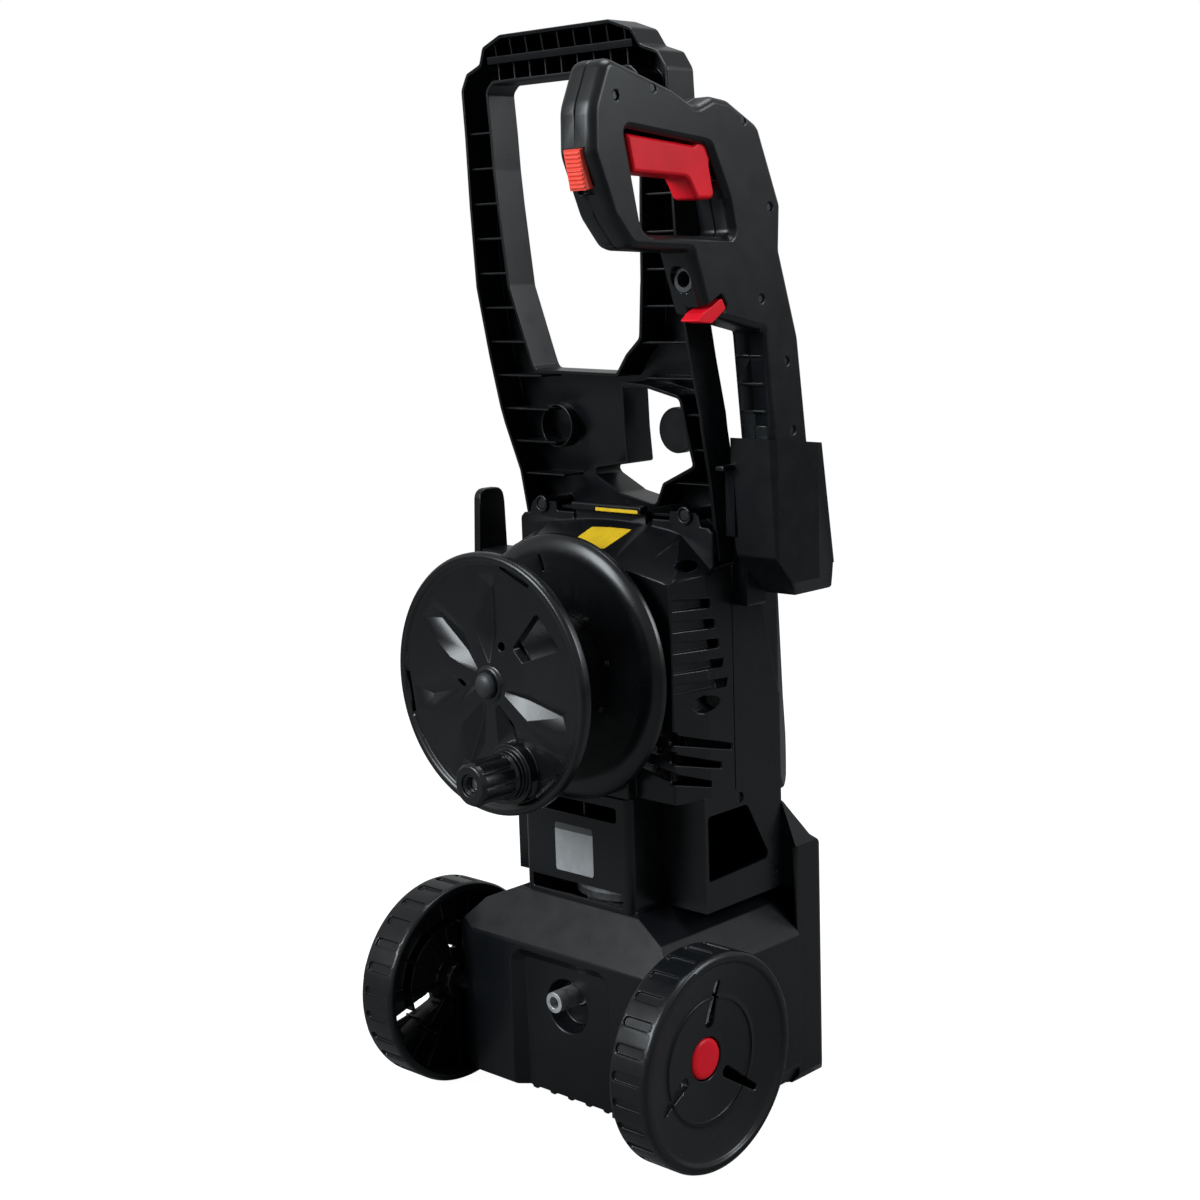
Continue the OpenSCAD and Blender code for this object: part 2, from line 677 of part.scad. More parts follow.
grip_mid = grip_top - grip_h / 2;
pocket_z = 584;
module handle_frame() {
    leg_ribs = [for (z = [roof_z + 28:29:grip_low - 20]) z];
    color(black) difference() {
        union() {
            difference() {
                handle_region(0, 0, 0);
                handle_region(wall, -over, wall);
            }
            // Cross ribs down the legs, two rows of ribs in the grip and the rail between them
            intersection() {
                handle_region(wall / 2, 4, wall / 2);
                union() {
                    both_sides() for (z = leg_ribs) box([60, -30, z], [handle_half, 80, z + rib_t]);
                    for (i = [-4:4]) box([i * 18 - rib_t / 2, -30, grip_low], [i * 18 + rib_t / 2, 40, grip_top]);
                }
            }
            intersection() {
                handle_region(wall / 2, 1, wall / 2);
                box([-leg_in + 2, -30, grip_mid - 3], [leg_in - 2, 40, grip_mid + 3]);
            }
            // Nozzle ring on the cross panel and the round rest beside the gun
            difference() {
                bar_y(38, lean[2][0] + channel_d - over, -66, pocket_z, 19);
                bar_y(30, lean[2][0] + channel_d, -66, pocket_z, 17);
            }
            bar_y(lean[2][0] + channel_d - 9, lean[2][0] + channel_d, 66, pocket_z, 19);
            box([80, lean[2][0] + channel_d - 7, pocket_z - 6], [97, lean[2][0] + channel_d - 1, pocket_z + 6]);
            // Screw bosses behind the hood's ears
            both_sides() bar_y(ear_y + wall, 40 + channel_d - 2.4, ear_x, ear_z, 6);
        }
        both_sides() bar_y(ear_y, ear_y + 16, ear_x, ear_z, 3 + run_gap);
    }
}
module handle_screws() {
    color(steel) both_sides() {
        bar_y(ear_y - 1.4, ear_y + 1, ear_x, ear_z, ear_ring - wall);
        bar_y(ear_y, ear_y + 15, ear_x, ear_z, 3);
    }
}

// ---- Holster cup and cord hook ----

cup_in = gun_x - cup_w / 2;
cup_out = gun_x + cup_w / 2;
function cup_side(rise) = [[80, cup_low, 3], [127, cup_low, 3], [134, cup_low + 20, 3], [112, cup_top - 8 + rise, 0],
    [45, cup_top + rise, 0], [49, cup_low + 34, 5]];
module cup_block(e, rise) {
    rear = [[cup_in + 6, cup_low, 2], [cup_out - 7, cup_low, 2], [cup_out, cup_low + 12, 2],
        [cup_out, cup_top + 60, 0], [cup_in, cup_top + 60, 0], [cup_in, cup_low + 12, 2]];
    plan = [[cup_in, 40, 0], [cup_out - 6, 40, 2], [cup_out, 52, 2], [cup_out, 104, 3], [cup_out - 9, 140, 3],
        [cup_in, 140, 0]];
    intersection() {
        prism_x(rounded(inset(cup_side(rise), e)), cup_in, cup_out);
        prism_y(rounded(inset(rear, e)), 0, front_y);
        prism_z(rounded(inset(plan, e)), 0, cup_top + 50);
    }
}
module holster_cup() {
    arm_x = handle_half + seat_gap;
    foot_x = hood_half + seat_gap;
    color(black) difference() {
        union() {
            cup_block(0, 0);
            // Arm against the handle's leg, its ledge, and the foot against the front shell
            box([arm_x, 46, roof_z - 12], [cup_in + cup_t, 84, cup_top - 26]);
            box([arm_x, 33, cup_top - 26], [cup_in + cup_t, 66, cup_top - 22]);
            box([foot_x, 60, shoulder_z - 34], [cup_in + cup_t, 84, roof_z - 12]);
        }
        cup_block(cup_t, 40);
        // Two grooves that lighten the arm
        for (y = [52, 66]) box([arm_x + 2, y, roof_z - 14], [cup_in - 1.5, y + 10, cup_top - 29]);
    }
}
module cord_hook() {
    z = shoulder_z - 8;
    foot = -hood_half - seat_gap;
    paddle = [[12, z, 3], [46, z, 3], [44, hook_top, 9], [15, hook_top, 9]];
    color(black) {
        prism_x(rounded(paddle), -hook_x, -hook_x + 8);
        box([-hook_x + 4, 14, z], [foot - 1, 44, z + 8]);
        box([foot - 3, 20, z - 16], [foot, 50, z + 8]);
    }
}

// ---- Wheels: profiles in (radius, depth from the outer face) ----

module wheel_web() {
    rotate_extrude() polygon([[wheel_pin_r + run_gap, hub_face], [wheel_cap_r + 1, hub_face],
        [wheel_cap_r + 1, dish_depth - 2], [wheel_hub_r + 3, dish_depth - 2.2], [wheel_r * 0.62, dish_depth - 7],
        [wheel_r * 0.8, dish_depth - 11.5], [wheel_r - tyre_t - 2.5, 2.8], [wheel_r - tyre_t - 1, 0.7],
        [wheel_r - tyre_t + 1, 0], [wheel_r - 4, 0], [wheel_r - 1, 1.6], [wheel_r, 4.5], [wheel_r, wheel_w - 4],
        [wheel_r - 1.5, wheel_w - 1], [wheel_r - 4, wheel_w], [wheel_r - tyre_t, wheel_w],
        [wheel_r - tyre_t, 5 + web_t], [wheel_r * 0.8, dish_depth - 11.5 + web_t],
        [wheel_r * 0.62, dish_depth - 7 + web_t], [wheel_hub_r, hub_face + web_t],
        [wheel_hub_r - 4, hub_end], [wheel_pin_r + run_gap, hub_end]]);
}
module wheel_body() {
    rib = [[wheel_hub_r - 2, hub_face], [wheel_r - tyre_t + 1, 6], [wheel_r - tyre_t + 1, wheel_w - 12],
        [wheel_hub_r - 4, hub_end - 3]];
    slot = [[26, -5, 3.5], [wheel_r * 0.73, -2.4, 2], [wheel_r * 0.73, 2.4, 2], [26, 5, 3.5]];
    tread_len = wheel_w - 12;
    difference() {
        union() {
            wheel_web();
            for (i = [0:wheel_ribs - 1]) rotate([90, 0, i * 360 / wheel_ribs])
                translate([0, 0, -rib_t / 2]) linear_extrude(rib_t) polygon(rib);
            translate([0, 0, 9]) difference() {
                cylinder(h = wheel_w - 24, r = wheel_r * 0.56 + rib_t);
                translate([0, 0, -over]) cylinder(h = wheel_w, r = wheel_r * 0.56);
            }
        }
        for (i = [0:2]) rotate(7 + 120 * i) translate([0, 0, -over]) linear_extrude(wheel_w)
            polygon(rounded(slot));
        for (i = [0:tread_count - 1]) rotate(i * 360 / tread_count)
            translate([wheel_r - tread_d, 0, 7 + tread_len / 2]) rotate([0, 90, 0]) linear_extrude(tread_d + over)
                polygon(rounded([[-tread_len / 2, -tread_w / 2, 3], [tread_len / 2, -tread_w / 2, 3],
                    [tread_len / 2, tread_w / 2, 3], [-tread_len / 2, tread_w / 2, 3]], 2));
    }
}
// Puts a piece drawn along +Z from the outer face on the right wheel's axle
module at_axle() translate([wheel_out, -axle_back, wheel_r]) rotate([0, -90, 0]) children();
module wheel_right() color(black) at_axle() wheel_body();
module wheel_left() mirror([1, 0, 0]) wheel_right();
module wheel_pin_right() {
    tail = wheel_out - base_half + boss_depth - seat_gap;
    color(red) at_axle() rotate_extrude() polygon([[0, dish_depth - 3.2], [wheel_cap_r - 5, dish_depth - 3],
        [wheel_cap_r - 1.5, dish_depth - 2.2], [wheel_cap_r, dish_depth - 0.6], [wheel_cap_r, hub_face - seat_gap],
        [wheel_pin_r, hub_face - seat_gap], [wheel_pin_r, tail], [0, tail]]);
}
module wheel_pin_left() mirror([1, 0, 0]) wheel_pin_right();

// ---- Hose reel: profiles in (radius, distance back from the middle of the machine) ----

boss_end = column_back + 1;
hub_start = boss_end + 3 + seat_gap;
rear_t = 4;
drum_start = hub_start + rear_t;
plate_back = reel_face - 12;
plate_face = reel_face - 3;
bore_r = spindle_r + run_gap;
crank_x = crank_throw * cos(crank_angle);
crank_z = -crank_throw * sin(crank_angle);
turret_top = plate_face + 13;
module at_reel() translate([0, 0, reel_z]) rotate([90, 0, 0]) children();
module at_crank() at_reel() translate([crank_x, crank_z, 0]) children();
module ring(inner, outer, z0, z1) {
    translate([0, 0, z0]) difference() {
        cylinder(h = z1 - z0, r = outer);
        translate([0, 0, -over]) cylinder(h = z1 - z0 + 2 * over, r = inner);
    }
}
module reel_spindle() {
    color(dark) at_reel() {
        translate([0, 0, hood_back - wall]) cylinder(h = reel_face - hood_back + wall, r = spindle_r);
        ring(spindle_r - over, 26, boss_end, boss_end + 3);
    }
}
module spindle_cap() {
    color(dark) at_reel() rotate_extrude() polygon([[0, reel_face], [11, reel_face], [10.6, reel_face + 2.4],
        [8.8, reel_face + 4.6], [5.8, reel_face + 6.1], [2.5, reel_face + 6.7], [0, reel_face + 6.8]]);
}
module reel_rear_disc() {
    r = reel_rear_r;
    s = hub_start;
    color(black) at_reel() {
        difference() {
            rotate_extrude() polygon([[bore_r, s], [drum_r + 12, s], [r - 20, s + 6], [r - 12, s + 6.2],
                [r - 5, s + 3.5], [r - 2, s], [r, s], [r - 0.6, s + 4.5], [r - 4, s + 8], [r - 10, s + 10.2],
                [r - 16, s + 10.6], [r - 24, s + 9.2], [drum_r + 10, s + rear_t], [bore_r, s + rear_t]]);
            // Hose notch
            rotate(100) translate([r - 30, -1.5, s - over]) cube([14, 3, 20]);
        }
        // Pegs that tie the drum to the disc
        for (i = [0:7]) rotate(10 + i * 45) translate([drum_r + 5.5, 0, s + rear_t - over]) cylinder(h = 4, r = 2.2);
    }
}
module reel_drum() {
    color(black) at_reel() {
        ring(drum_r - wall, drum_r, drum_start, plate_back);
        ring(bore_r, spindle_r + 5, drum_start, plate_back);
        for (i = [0:5]) rotate(i * 60 + 15) translate([spindle_r + 4, -rib_t / 2, drum_start + 2])
            cube([drum_r - wall - spindle_r - 3, rib_t, plate_back - drum_start - 4]);
    }
}
// One petal: a leaf-shaped hollow whose two flanks meet in a valley
module petal() {
    out = reel_front_r - 13;
    high = plate_face + over;
    low = plate_face - petal_d;
    leaf = [[17, -4, high], [48, -17, high], [out - 20, -17, high], [out, -13, high], [out, 13, high],
        [out - 20, 17, high], [48, 17, high], [17, 4, high]];
    valley = [[18, 0, plate_face - 2], [38, 0, low], [out - 17, 0, low]];
    polyhedron(concat(leaf, valley),
        [[0, 1, 9], [0, 9, 8], [1, 2, 10], [1, 10, 9], [2, 3, 10], [3, 4, 10], [4, 5, 10], [5, 6, 9], [5, 9, 10],
        [6, 7, 8], [6, 8, 9], [7, 0, 8], [7, 6, 5, 4, 3, 2, 1, 0]]);
}
window_angle = 38.5;
module reel_front_disc() {
    r = reel_front_r;
    color(black) difference() {
        union() {
            at_reel() difference() {
                rotate_extrude() polygon([[bore_r, plate_back], [r - 6, plate_back], [r - 2, plate_back + 1],
                    [r, plate_back + 3.5], [r, reel_face - 3], [r - 1.5, reel_face - 0.6], [r - 4, reel_face],
                    [r - 7, reel_face - 0.8], [r - 9, plate_face], [16, plate_face], [13.5, reel_face - 0.5],
                    [bore_r, reel_face - 0.5]]);
                for (i = [1:sectors - 1]) rotate(window_angle + i * 360 / sectors) petal();
                // Window between two petals, three holes round the hub and three thin slots by the rim
                rotate(window_angle) translate([0, 0, plate_back - over]) linear_extrude(20)
                    polygon(rounded([[44, -7, 2], [86, -21, 3], [83, 15, 3], [42, 8, 2]]));
                for (i = [0:2]) rotate(65 + 120 * i) translate([36, 0, plate_back - over]) cylinder(h = 20, r = 3.6);
                for (i = [0:2]) rotate(70 + 120 * i) translate([r - 12.5, -17, plate_back - over]) cube([3, 34, 20]);
            }
            at_crank() {
                translate([0, 0, plate_back + 1]) cylinder(h = plate_face + 8 - plate_back, r = 24.5);
                translate([0, 0, plate_face]) cylinder(h = turret_top - plate_face, r = 20.5);
            }
        }
        at_crank() translate([0, 0, plate_back + 3]) cylinder(h = 40, r = 6 + run_gap);
    }
}
pin_r = 6;
module crank_pin() {
    color(steel) at_crank() translate([0, 0, plate_back + 3 + run_gap])
        cylinder(h = knob_tip - 8 - plate_back - 3, r = pin_r);
}
module crank_knob() {
    low = turret_top + seat_gap;
    color(black) at_crank() difference() {
        rotate_extrude() polygon([[pin_r + run_gap, low], [knob_r + 1.5, low], [knob_r + 1.5, low + 2.5],
            [knob_r, low + 4], [knob_r, knob_tip - 5], [knob_r - 2, knob_tip - 1], [knob_r - 4, knob_tip],
            [pin_r + 3, knob_tip], [pin_r + 2.4, knob_tip - 2.5], [pin_r + run_gap, knob_tip - 2.5]]);
        for (i = [0:knob_flutes - 1]) rotate(i * 360 / knob_flutes)
            translate([knob_r + 1.7, 0, low + 6]) cylinder(h = knob_tip, r = 2.7);
    }
}

// ---- Water outlet and inlet ----

pump_back = motor_y - 38;
pump_front = motor_y + 38;
module outlet_tube() {
    color(zinc) translate([0, pump_back, port_z]) rotate([90, 0, 0]) difference() {
        union() {
            cylinder(h = pump_back + outlet_tip, r = outlet_r);
            cylinder(h = pump_back + base_back - arch_d - funnel_d, r = outlet_r + outlet_step);
        }
        translate([0, 0, 6]) cylinder(h = pump_back + outlet_tip, r = outlet_bore);
    }
}
module water_inlet() {
    tip = front_y - 2;
    color(dark) translate([0, pump_front, port_z]) rotate([-90, 0, 0]) difference() {
        union() {
            cylinder(h = tip - pump_front, r = inlet_r);
            cylinder(h = inlet_seat - pump_front, r = inlet_r + 1);
            cylinder(h = inlet_seat - wall - seat_gap - pump_front, r = inlet_r + 4);
        }
        translate([0, 0, 6]) cylinder(h = tip, r = inlet_r - 2.5);
    }
}

// ---- Pump and motor on one upright axis ----

head_top = pump_low + 58;
block_top = motor_low - 56;
block_r = 40;
piston_ring = 21;
piston_top = block_top + 12;
swash_r = 30;
swash_t = 8;
swash_z = piston_top + seat_gap + (swash_r + 1) * sin(swash_tilt);
motor_top = motor_low + motor_h;
bearing_r = shaft_r + 5;
bearing_h = 8;
module on_axis(z) translate([0, motor_y, z]) children();
module pump_head() {
    color(steel) {
        box([-40, pump_back, pump_low], [40, pump_front, head_top]);
        // Valve caps on both flanks
        both_sides() for (y = [-20, 20]) bar_x(40 - over, 46, motor_y + y, pump_low + 34, 9);
    }
}
module pump_block() {
    color(steel) on_axis(head_top) difference() {
        union() {
            cylinder(h = block_top - head_top, r = block_r);
            cylinder(h = 6, r = block_r + 4);
            translate([0, 0, block_top - head_top - 6]) cylinder(h = 6, r = block_r + 8);
        }
        for (i = [0:2]) rotate(30 + 120 * i) translate([piston_ring, 0, 8])
            cylinder(h = block_top, r = piston_r + run_gap);
    }
}
module piston(i) {
    low = head_top + 9 + piston_stroke;
    color(zinc) on_axis(low) rotate(30 + 120 * i) translate([piston_ring, 0, 0]) cylinder(h = piston_top - low, r = piston_r);
}
module piston_1() piston(0);
module piston_2() piston(1);
module piston_3() piston(2);
module swash_housing() {
    color(zinc) on_axis(0) difference() {
        ring(block_r + 4, block_r + 8, block_top, motor_low);
        for (a = [0:90:270]) rotate(a) translate([0, -6, block_top + 20]) cube([60, 12, 18]);
    }
}
module swash_plate() {
    color(steel) on_axis(swash_z) difference() {
        rotate([swash_tilt, 0, 0]) cylinder(h = swash_t, r = swash_r);
        translate([0, 0, swash_t / 2]) cylinder(h = swash_t, r = shaft_r);
    }
}
module motor_shaft() {
    z = swash_z + swash_t / 2;
    color(steel) on_axis(z) cylinder(h = motor_top + 18 - z, r = shaft_r);
}
module motor_can() {
    color(steel) on_axis(0) {
        ring(motor_r - can_t, motor_r, motor_low, motor_top);
        ring(bearing_r, motor_r - can_t + 0.5, motor_low, motor_low + 4);
        ring(bearing_r, motor_r - can_t + 0.5, motor_top - 4, motor_top);
    }
}
module motor_stator() {
    color(brass) on_axis(0) ring(rotor_r + 1, motor_r - can_t, motor_low + 14, motor_top - 14);
}
module motor_bearings() {
    color(zinc) on_axis(0) {
        ring(shaft_r + run_gap, bearing_r, motor_low, motor_low + bearing_h);
        ring(shaft_r + run_gap, bearing_r, motor_top - bearing_h, motor_top);
    }
}
module motor_rotor() {
    color(brass) on_axis(0) {
        ring(shaft_r, rotor_r, motor_low + 16, motor_top - 16);
        ring(shaft_r, rotor_r - 12, motor_low + 11, motor_low + 16);
    }
}
module motor_fan() {
    color(dark) on_axis(motor_top + 3) {
        ring(shaft_r, 14, 0, 13);
        for (i = [0:fan_blades - 1]) rotate(i * 360 / fan_blades) translate([12, -over, 0])
            rotate([0, 0, 12]) cube([fan_r - 13, 2, 12]);
        ring(13, fan_r - 1.5, 0, 1.6);
    }
}
module capacitor() {
    color(zinc) translate([-82, 20, hood_seam + wall]) {
        cylinder(h = 62, r = 17);
        translate([0, 0, 62]) cylinder(h = 5, r = 12);
    }
}

// ---- Switch ----

module switch_box() {
    depth = 28;
    color(dark) difference() {
        box([-22, switch_y - 6 - depth, switch_z - 22], [22, switch_y - 6, switch_z + 22]);
        bar_y(switch_y - 16, switch_y, 0, switch_z, shaft_r - 1 + run_gap);
    }
}
module switch_knob() {
    color(red) {
        bar_y(switch_y + seat_gap, switch_y + 13, 0, switch_z, switch_r);
        bar_y(switch_y - 15, switch_y + over, 0, switch_z, shaft_r - 1);
        box([-5, switch_y + 12, switch_z - switch_r + 3], [5, switch_y + 23, switch_z + switch_r - 3]);
    }
}

// ---- Trigger gun: outlines in (Y, Z) ----

gun_half = gun_t / 2;
function gun_outline() = [[53, 556, 2], [101, 556, 2], [88, 659, 40], [66, 727, 12], [68, 762, 12],
    [42, 822, 12], [6, 840, 16], [-12, 842, 14], [-32, 834, 12], [-56, 845, 30], [-129, 866, 11],
    [-145, 830, 30], [-146, 797, 24], [-127, 753, 22], [-107, 730, 16], [-42, 727, 3], [-25, 679, 9],
    [42, 664, 4]];
function loop_outline() = [[-93, 741, 14], [8, 738, 5], [1, 766, 5], [-19, 805, 6], [-110, 815, 3]];
lance_lean = 6.85;
valve_half = lance_r + 1.8;
lance_top = [59.3, 706];
trigger_pivot = [-13, 815];
nozzle_low = cup_low + 2 * cup_t;
// Slot that the trigger turns in, up inside the grip
function trigger_slot() = [[-112, 800, 0], [-20, 790, 0], [-4, 774, 3], [-2, 822, 3], [-30, 826, 3], [-104, 836, 4], [-114, 834, 4]];
// Places of the gun's screws in (Y, Z)
gun_screw_points = [[-120, 838], [-80, 845], [22, 825], [52, 760], [40, 690], [70, 640], [77, 585]];
safety_tilt = 12;
safety_place = [-143.6, 787];
module at_safety() {
    translate([gun_x, safety_place[0], safety_place[1]]) rotate([safety_tilt, 0, 0]) children();
}
// Lance axis: children are drawn along +Z, downwards from the valve
module on_lance() {
    translate([gun_x, lance_top[0], lance_top[1]]) rotate([180 + lance_lean, 0, 0]) children();
}
clip_travel = 3;
function clip_low() = [[-37, 675.5, 1], [-20, 673.5, 2], [-3, 684, 2]];
function clip_high(up) = [[-8, 692 + up, 2], [-20, 686 + up, 3], [-30, 681.5 + up, 2]];
// Stations of a shape that is alike on both sides, from its rounding inwards: [distance from the rim, inset]
function both_ways(half, steps_in) = concat([for (s = steps_in) [s[0] - half, s[1]]],
    [for (i = [len(steps_in) - 1:-1:0]) [half - steps_in[i][0], steps_in[i][1]]]);
module gun_form() {
    slot_half = trigger_t / 2 + seat_gap;
    translate([gun_x, 0, 0]) difference() {
        // A little thicker than the gun: its sides are trimmed flat
        lofted_x(gun_outline(), both_ways(gun_half + 0.3, [[0, 7], [1.6, 3.4], [4, 1.2], [8, 0]]));
        // Finger loop with rolled edges
        lofted_x(loop_outline(), both_ways(gun_half, [[-over, -5], [3.5, -1.4], [8, 0]]));
        prism_x(rounded(trigger_slot()), -slot_half, slot_half);
    }
}
module gun_pockets() {
    safety_half = safety_w / 2 + seat_gap;
    pin_half = trigger_t / 2 + 4;
    difference() {
        gun_form();
        // Safety slot, as long as the slider and its travel
        at_safety() box([-safety_half, -8, -safety_h / 2 - safety_travel - seat_gap],
            [safety_half, 9, safety_h / 2 + seat_gap]);
        // Ribbed grip on the back of the lance: a shallow recess crossed by ribs
        difference() {
            prism_x([[30, 590], [51.5, 590], [45, 664], [30, 664]], gun_x - gun_half + 3, gun_x + gun_half - 3);
            for (z = [600, 622, 644]) box([gun_x - gun_half, 48 - (z - 590) * 0.1, z], [gun_x + gun_half, 60, z + 2.4]);
        }
        // Hose port and valve
        bar_y(-60, -5, gun_x, 707, port_r + run_gap);
        box([gun_x - valve_half - seat_gap, -5 - over, 696],
            [gun_x + valve_half + seat_gap, lance_top[0] + lance_r + 1.2, 718]);
        bar_x(gun_x - pin_half, gun_x + pin_half, trigger_pivot[0], trigger_pivot[1], trigger_pin_r + run_gap);
        // Pocket of the release clip with room for its press
        prism_x(rounded(inset(concat(clip_low(), [[-3, 684 + clip_travel, 2]], clip_high(clip_travel),
            [[-37, 675.5 + clip_travel, 1]]), -seat_gap)), gun_x - 2, gun_x + gun_half + over);
    }
}
module gun_side(x0, x1) {
    difference() {
        intersection() {
            gun_pockets();
            box([x0, -160, 550], [x1, 110, 880]);
        }
        on_lance() rotate(20) cylinder(h = 170, r = lance_r + run_gap);
    }
}
module gun_shell_right() {
    color(black) difference() {
        gun_side(gun_x, gun_x + gun_half);
        for (p = gun_screw_points) bar_x(gun_x + gun_half - 4, gun_x + gun_half + over, p[0], p[1], 3.2);
    }
}
module gun_shell_left() {
    color(black) gun_side(gun_x - gun_half, gun_x);
}
module gun_screws() {
    color(steel) for (p = gun_screw_points) bar_x(gun_x + gun_half - 4, gun_x + gun_half - 1.8, p[0], p[1], 3);
}
module gun_trigger() {
    half = trigger_t / 2;
    outline = [[-98, 785, 3], [-38, 782, 8], [-28, 766, 5], [-6, 766, 5], [-12, 792, 8], [-7, 815, 5],
        [-18, 820, 5], [-30, 806, 3], [-105, 813, 3]];
    color(red) difference() {
        intersection() {
            translate([gun_x, 0, 0]) lofted_x(outline, both_ways(half + 0.3, [[0, 3], [1.6, 1], [4, 0]]));
            box([gun_x - half, -140, 740], [gun_x + half, 40, 850]);
        }
        bar_x(gun_x - half - over, gun_x + half + over, trigger_pivot[0], trigger_pivot[1], trigger_pin_r + run_gap);
        // Gap in the lug for the spring
        box([gun_x + 3, trigger_pivot[0] - 8, trigger_pivot[1] - 8], [gun_x + 9, trigger_pivot[0] + 12,
            trigger_pivot[1] + 12]);
    }
}
module trigger_pin() {
    reach = trigger_t / 2 + 3.7;
    color(steel) bar_x(gun_x - reach, gun_x + reach, trigger_pivot[0], trigger_pivot[1], trigger_pin_r);
}
// Torsion spring round the trigger pin, one unbroken wire
spring_turns = 3;
spring_wire = 0.6;
spring_r = trigger_pin_r + 1.4;
module trigger_spring() {
    pitch = 1.5;
    around = 20;
    sides = 6;
    rings = spring_turns * around;
    points = [for (k = [0:rings]) let (a = 360 * k / around, place = pitch * k / around)
        for (j = [0:sides - 1]) let (b = 360 * j / sides, r = spring_r + spring_wire * cos(b))
            [place + spring_wire * sin(b), r * cos(a), r * sin(a)]];
    faces = concat([for (k = [0:rings - 1]) for (j = [0:sides - 1])
        each [[k * sides + j, k * sides + (j + 1) % sides, (k + 1) * sides + (j + 1) % sides],
            [k * sides + j, (k + 1) * sides + (j + 1) % sides, (k + 1) * sides + j]]],
        [[for (j = [sides - 1:-1:0]) j], [for (j = [0:sides - 1]) rings * sides + j]]);
    color(steel) translate([gun_x + 6 - spring_turns * pitch / 2, trigger_pivot[0], trigger_pivot[1]])
        polyhedron(points, faces);
}
module gun_safety() {
    half = safety_w / 2;
    color(orange) at_safety() difference() {
        union() {
            box([-half, -2.6, -safety_h / 2], [half, 8, safety_h / 2]);
            for (i = [0:8]) box([-half + 1, -3.6, -safety_h / 2 + 1.5 + i * 3], [half - 1, -2.5,
                -safety_h / 2 + 3.1 + i * 3]);
        }
        box([-half - over, -4, -0.4], [half + over, -3.2, 0.4]);
    }
}
module gun_release() {
    color(red) prism_x(rounded(concat(clip_low(), clip_high(0))), gun_x, gun_x + gun_half - 0.5);
}
module hose_port() {
    color(dark) translate([gun_x, -5, 707]) rotate([90, 0, 0]) difference() {
        cylinder(h = 27, r = port_r);
        translate([0, 0, 4]) cylinder(h = 30, r = port_bore);
    }
}
valve_low = 696.3;
module gun_valve() {
    color(brass) difference() {
        box([gun_x - valve_half, -5, valve_low], [gun_x + valve_half, lance_top[0] + lance_r + 0.9, 717.7]);
        on_lance() translate([0, 0, -bead]) cylinder(h = 40, r = lance_r - 2 + run_gap);
    }
}
lance_len = (lance_top[1] - nozzle_low - nozzle_r * sin(lance_lean)) / cos(lance_lean);
nozzle_len = 48;
// Where the tube's full width starts, just under the tilted valve
lance_start = (lance_top[1] - valve_low + lance_r * sin(lance_lean)) / cos(lance_lean) + seat_gap / 2;
module lance_tube() {
    color(steel) on_lance() {
        translate([0, 0, lance_start]) cylinder(h = lance_len - nozzle_len - lance_start, r = lance_r);
        translate([0, 0, -4]) cylinder(h = lance_start + 5, r = lance_r - 2);
    }
}
module lance_nozzle() {
    color(dark) on_lance() translate([0, 0, lance_len - nozzle_len]) difference() {
        rotate_extrude() polygon([[0, 0], [lance_r + 1, 0], [nozzle_r - 2, 5], [nozzle_r, 9], [nozzle_r, 32],
            [nozzle_r - 3, 36], [nozzle_r - 3, nozzle_len - 2], [nozzle_r - 5, nozzle_len], [0, nozzle_len]]);
        translate([0, 0, nozzle_len - 12]) cylinder(h = 20, r = 5);
        for (i = [0:9]) rotate(i * 36) translate([nozzle_r + 1, 0, 11]) cylinder(h = 19, r = 2.4);
    }
}

rear_shell();
motor_hood();
front_shell();
front_cover_upper();
front_cover_lower();
handle_frame();
holster_cup();
cord_hook();
handle_screws();
shell_screws();
front_feet();
wheel_left();
wheel_right();
wheel_pin_left();
wheel_pin_right();
reel_spindle();
reel_rear_disc();
reel_drum();
reel_front_disc();
spindle_cap();
crank_pin();
crank_knob();
outlet_tube();
water_inlet();
motor_can();
motor_stator();
motor_bearings();
motor_shaft();
motor_rotor();
motor_fan();
swash_plate();
swash_housing();
pump_block();
pump_head();
piston_1();
piston_2();
piston_3();
switch_box();
switch_knob();
capacitor();
gun_shell_left();
gun_shell_right();
gun_trigger();
trigger_pin();
trigger_spring();
gun_safety();
gun_release();
hose_port();
gun_valve();
lance_tube();
lance_nozzle();
gun_screws();
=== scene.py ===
"""Finish of the pressure washer: rounded mouldings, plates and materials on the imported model."""
import json
import math

import bmesh
import bpy
from mathutils import Matrix, Vector
from mathutils.bvhtree import BVHTree
from mathutils.kdtree import KDTree


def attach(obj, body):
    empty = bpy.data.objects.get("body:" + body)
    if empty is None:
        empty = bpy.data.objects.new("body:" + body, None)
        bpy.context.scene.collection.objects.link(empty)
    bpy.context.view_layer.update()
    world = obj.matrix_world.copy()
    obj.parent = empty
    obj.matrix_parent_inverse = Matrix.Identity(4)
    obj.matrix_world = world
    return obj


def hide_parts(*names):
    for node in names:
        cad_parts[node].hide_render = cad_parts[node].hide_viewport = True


bl_info = {
    "name": "Pressure Washer",
    "version": (1, 0, 0),
    "blender": (4, 5, 0),
    "location": "3D View > Sidebar > Washer",
    "description": "Dresses the packed pressure washer and sets up its stage",
    "category": "Object",
}

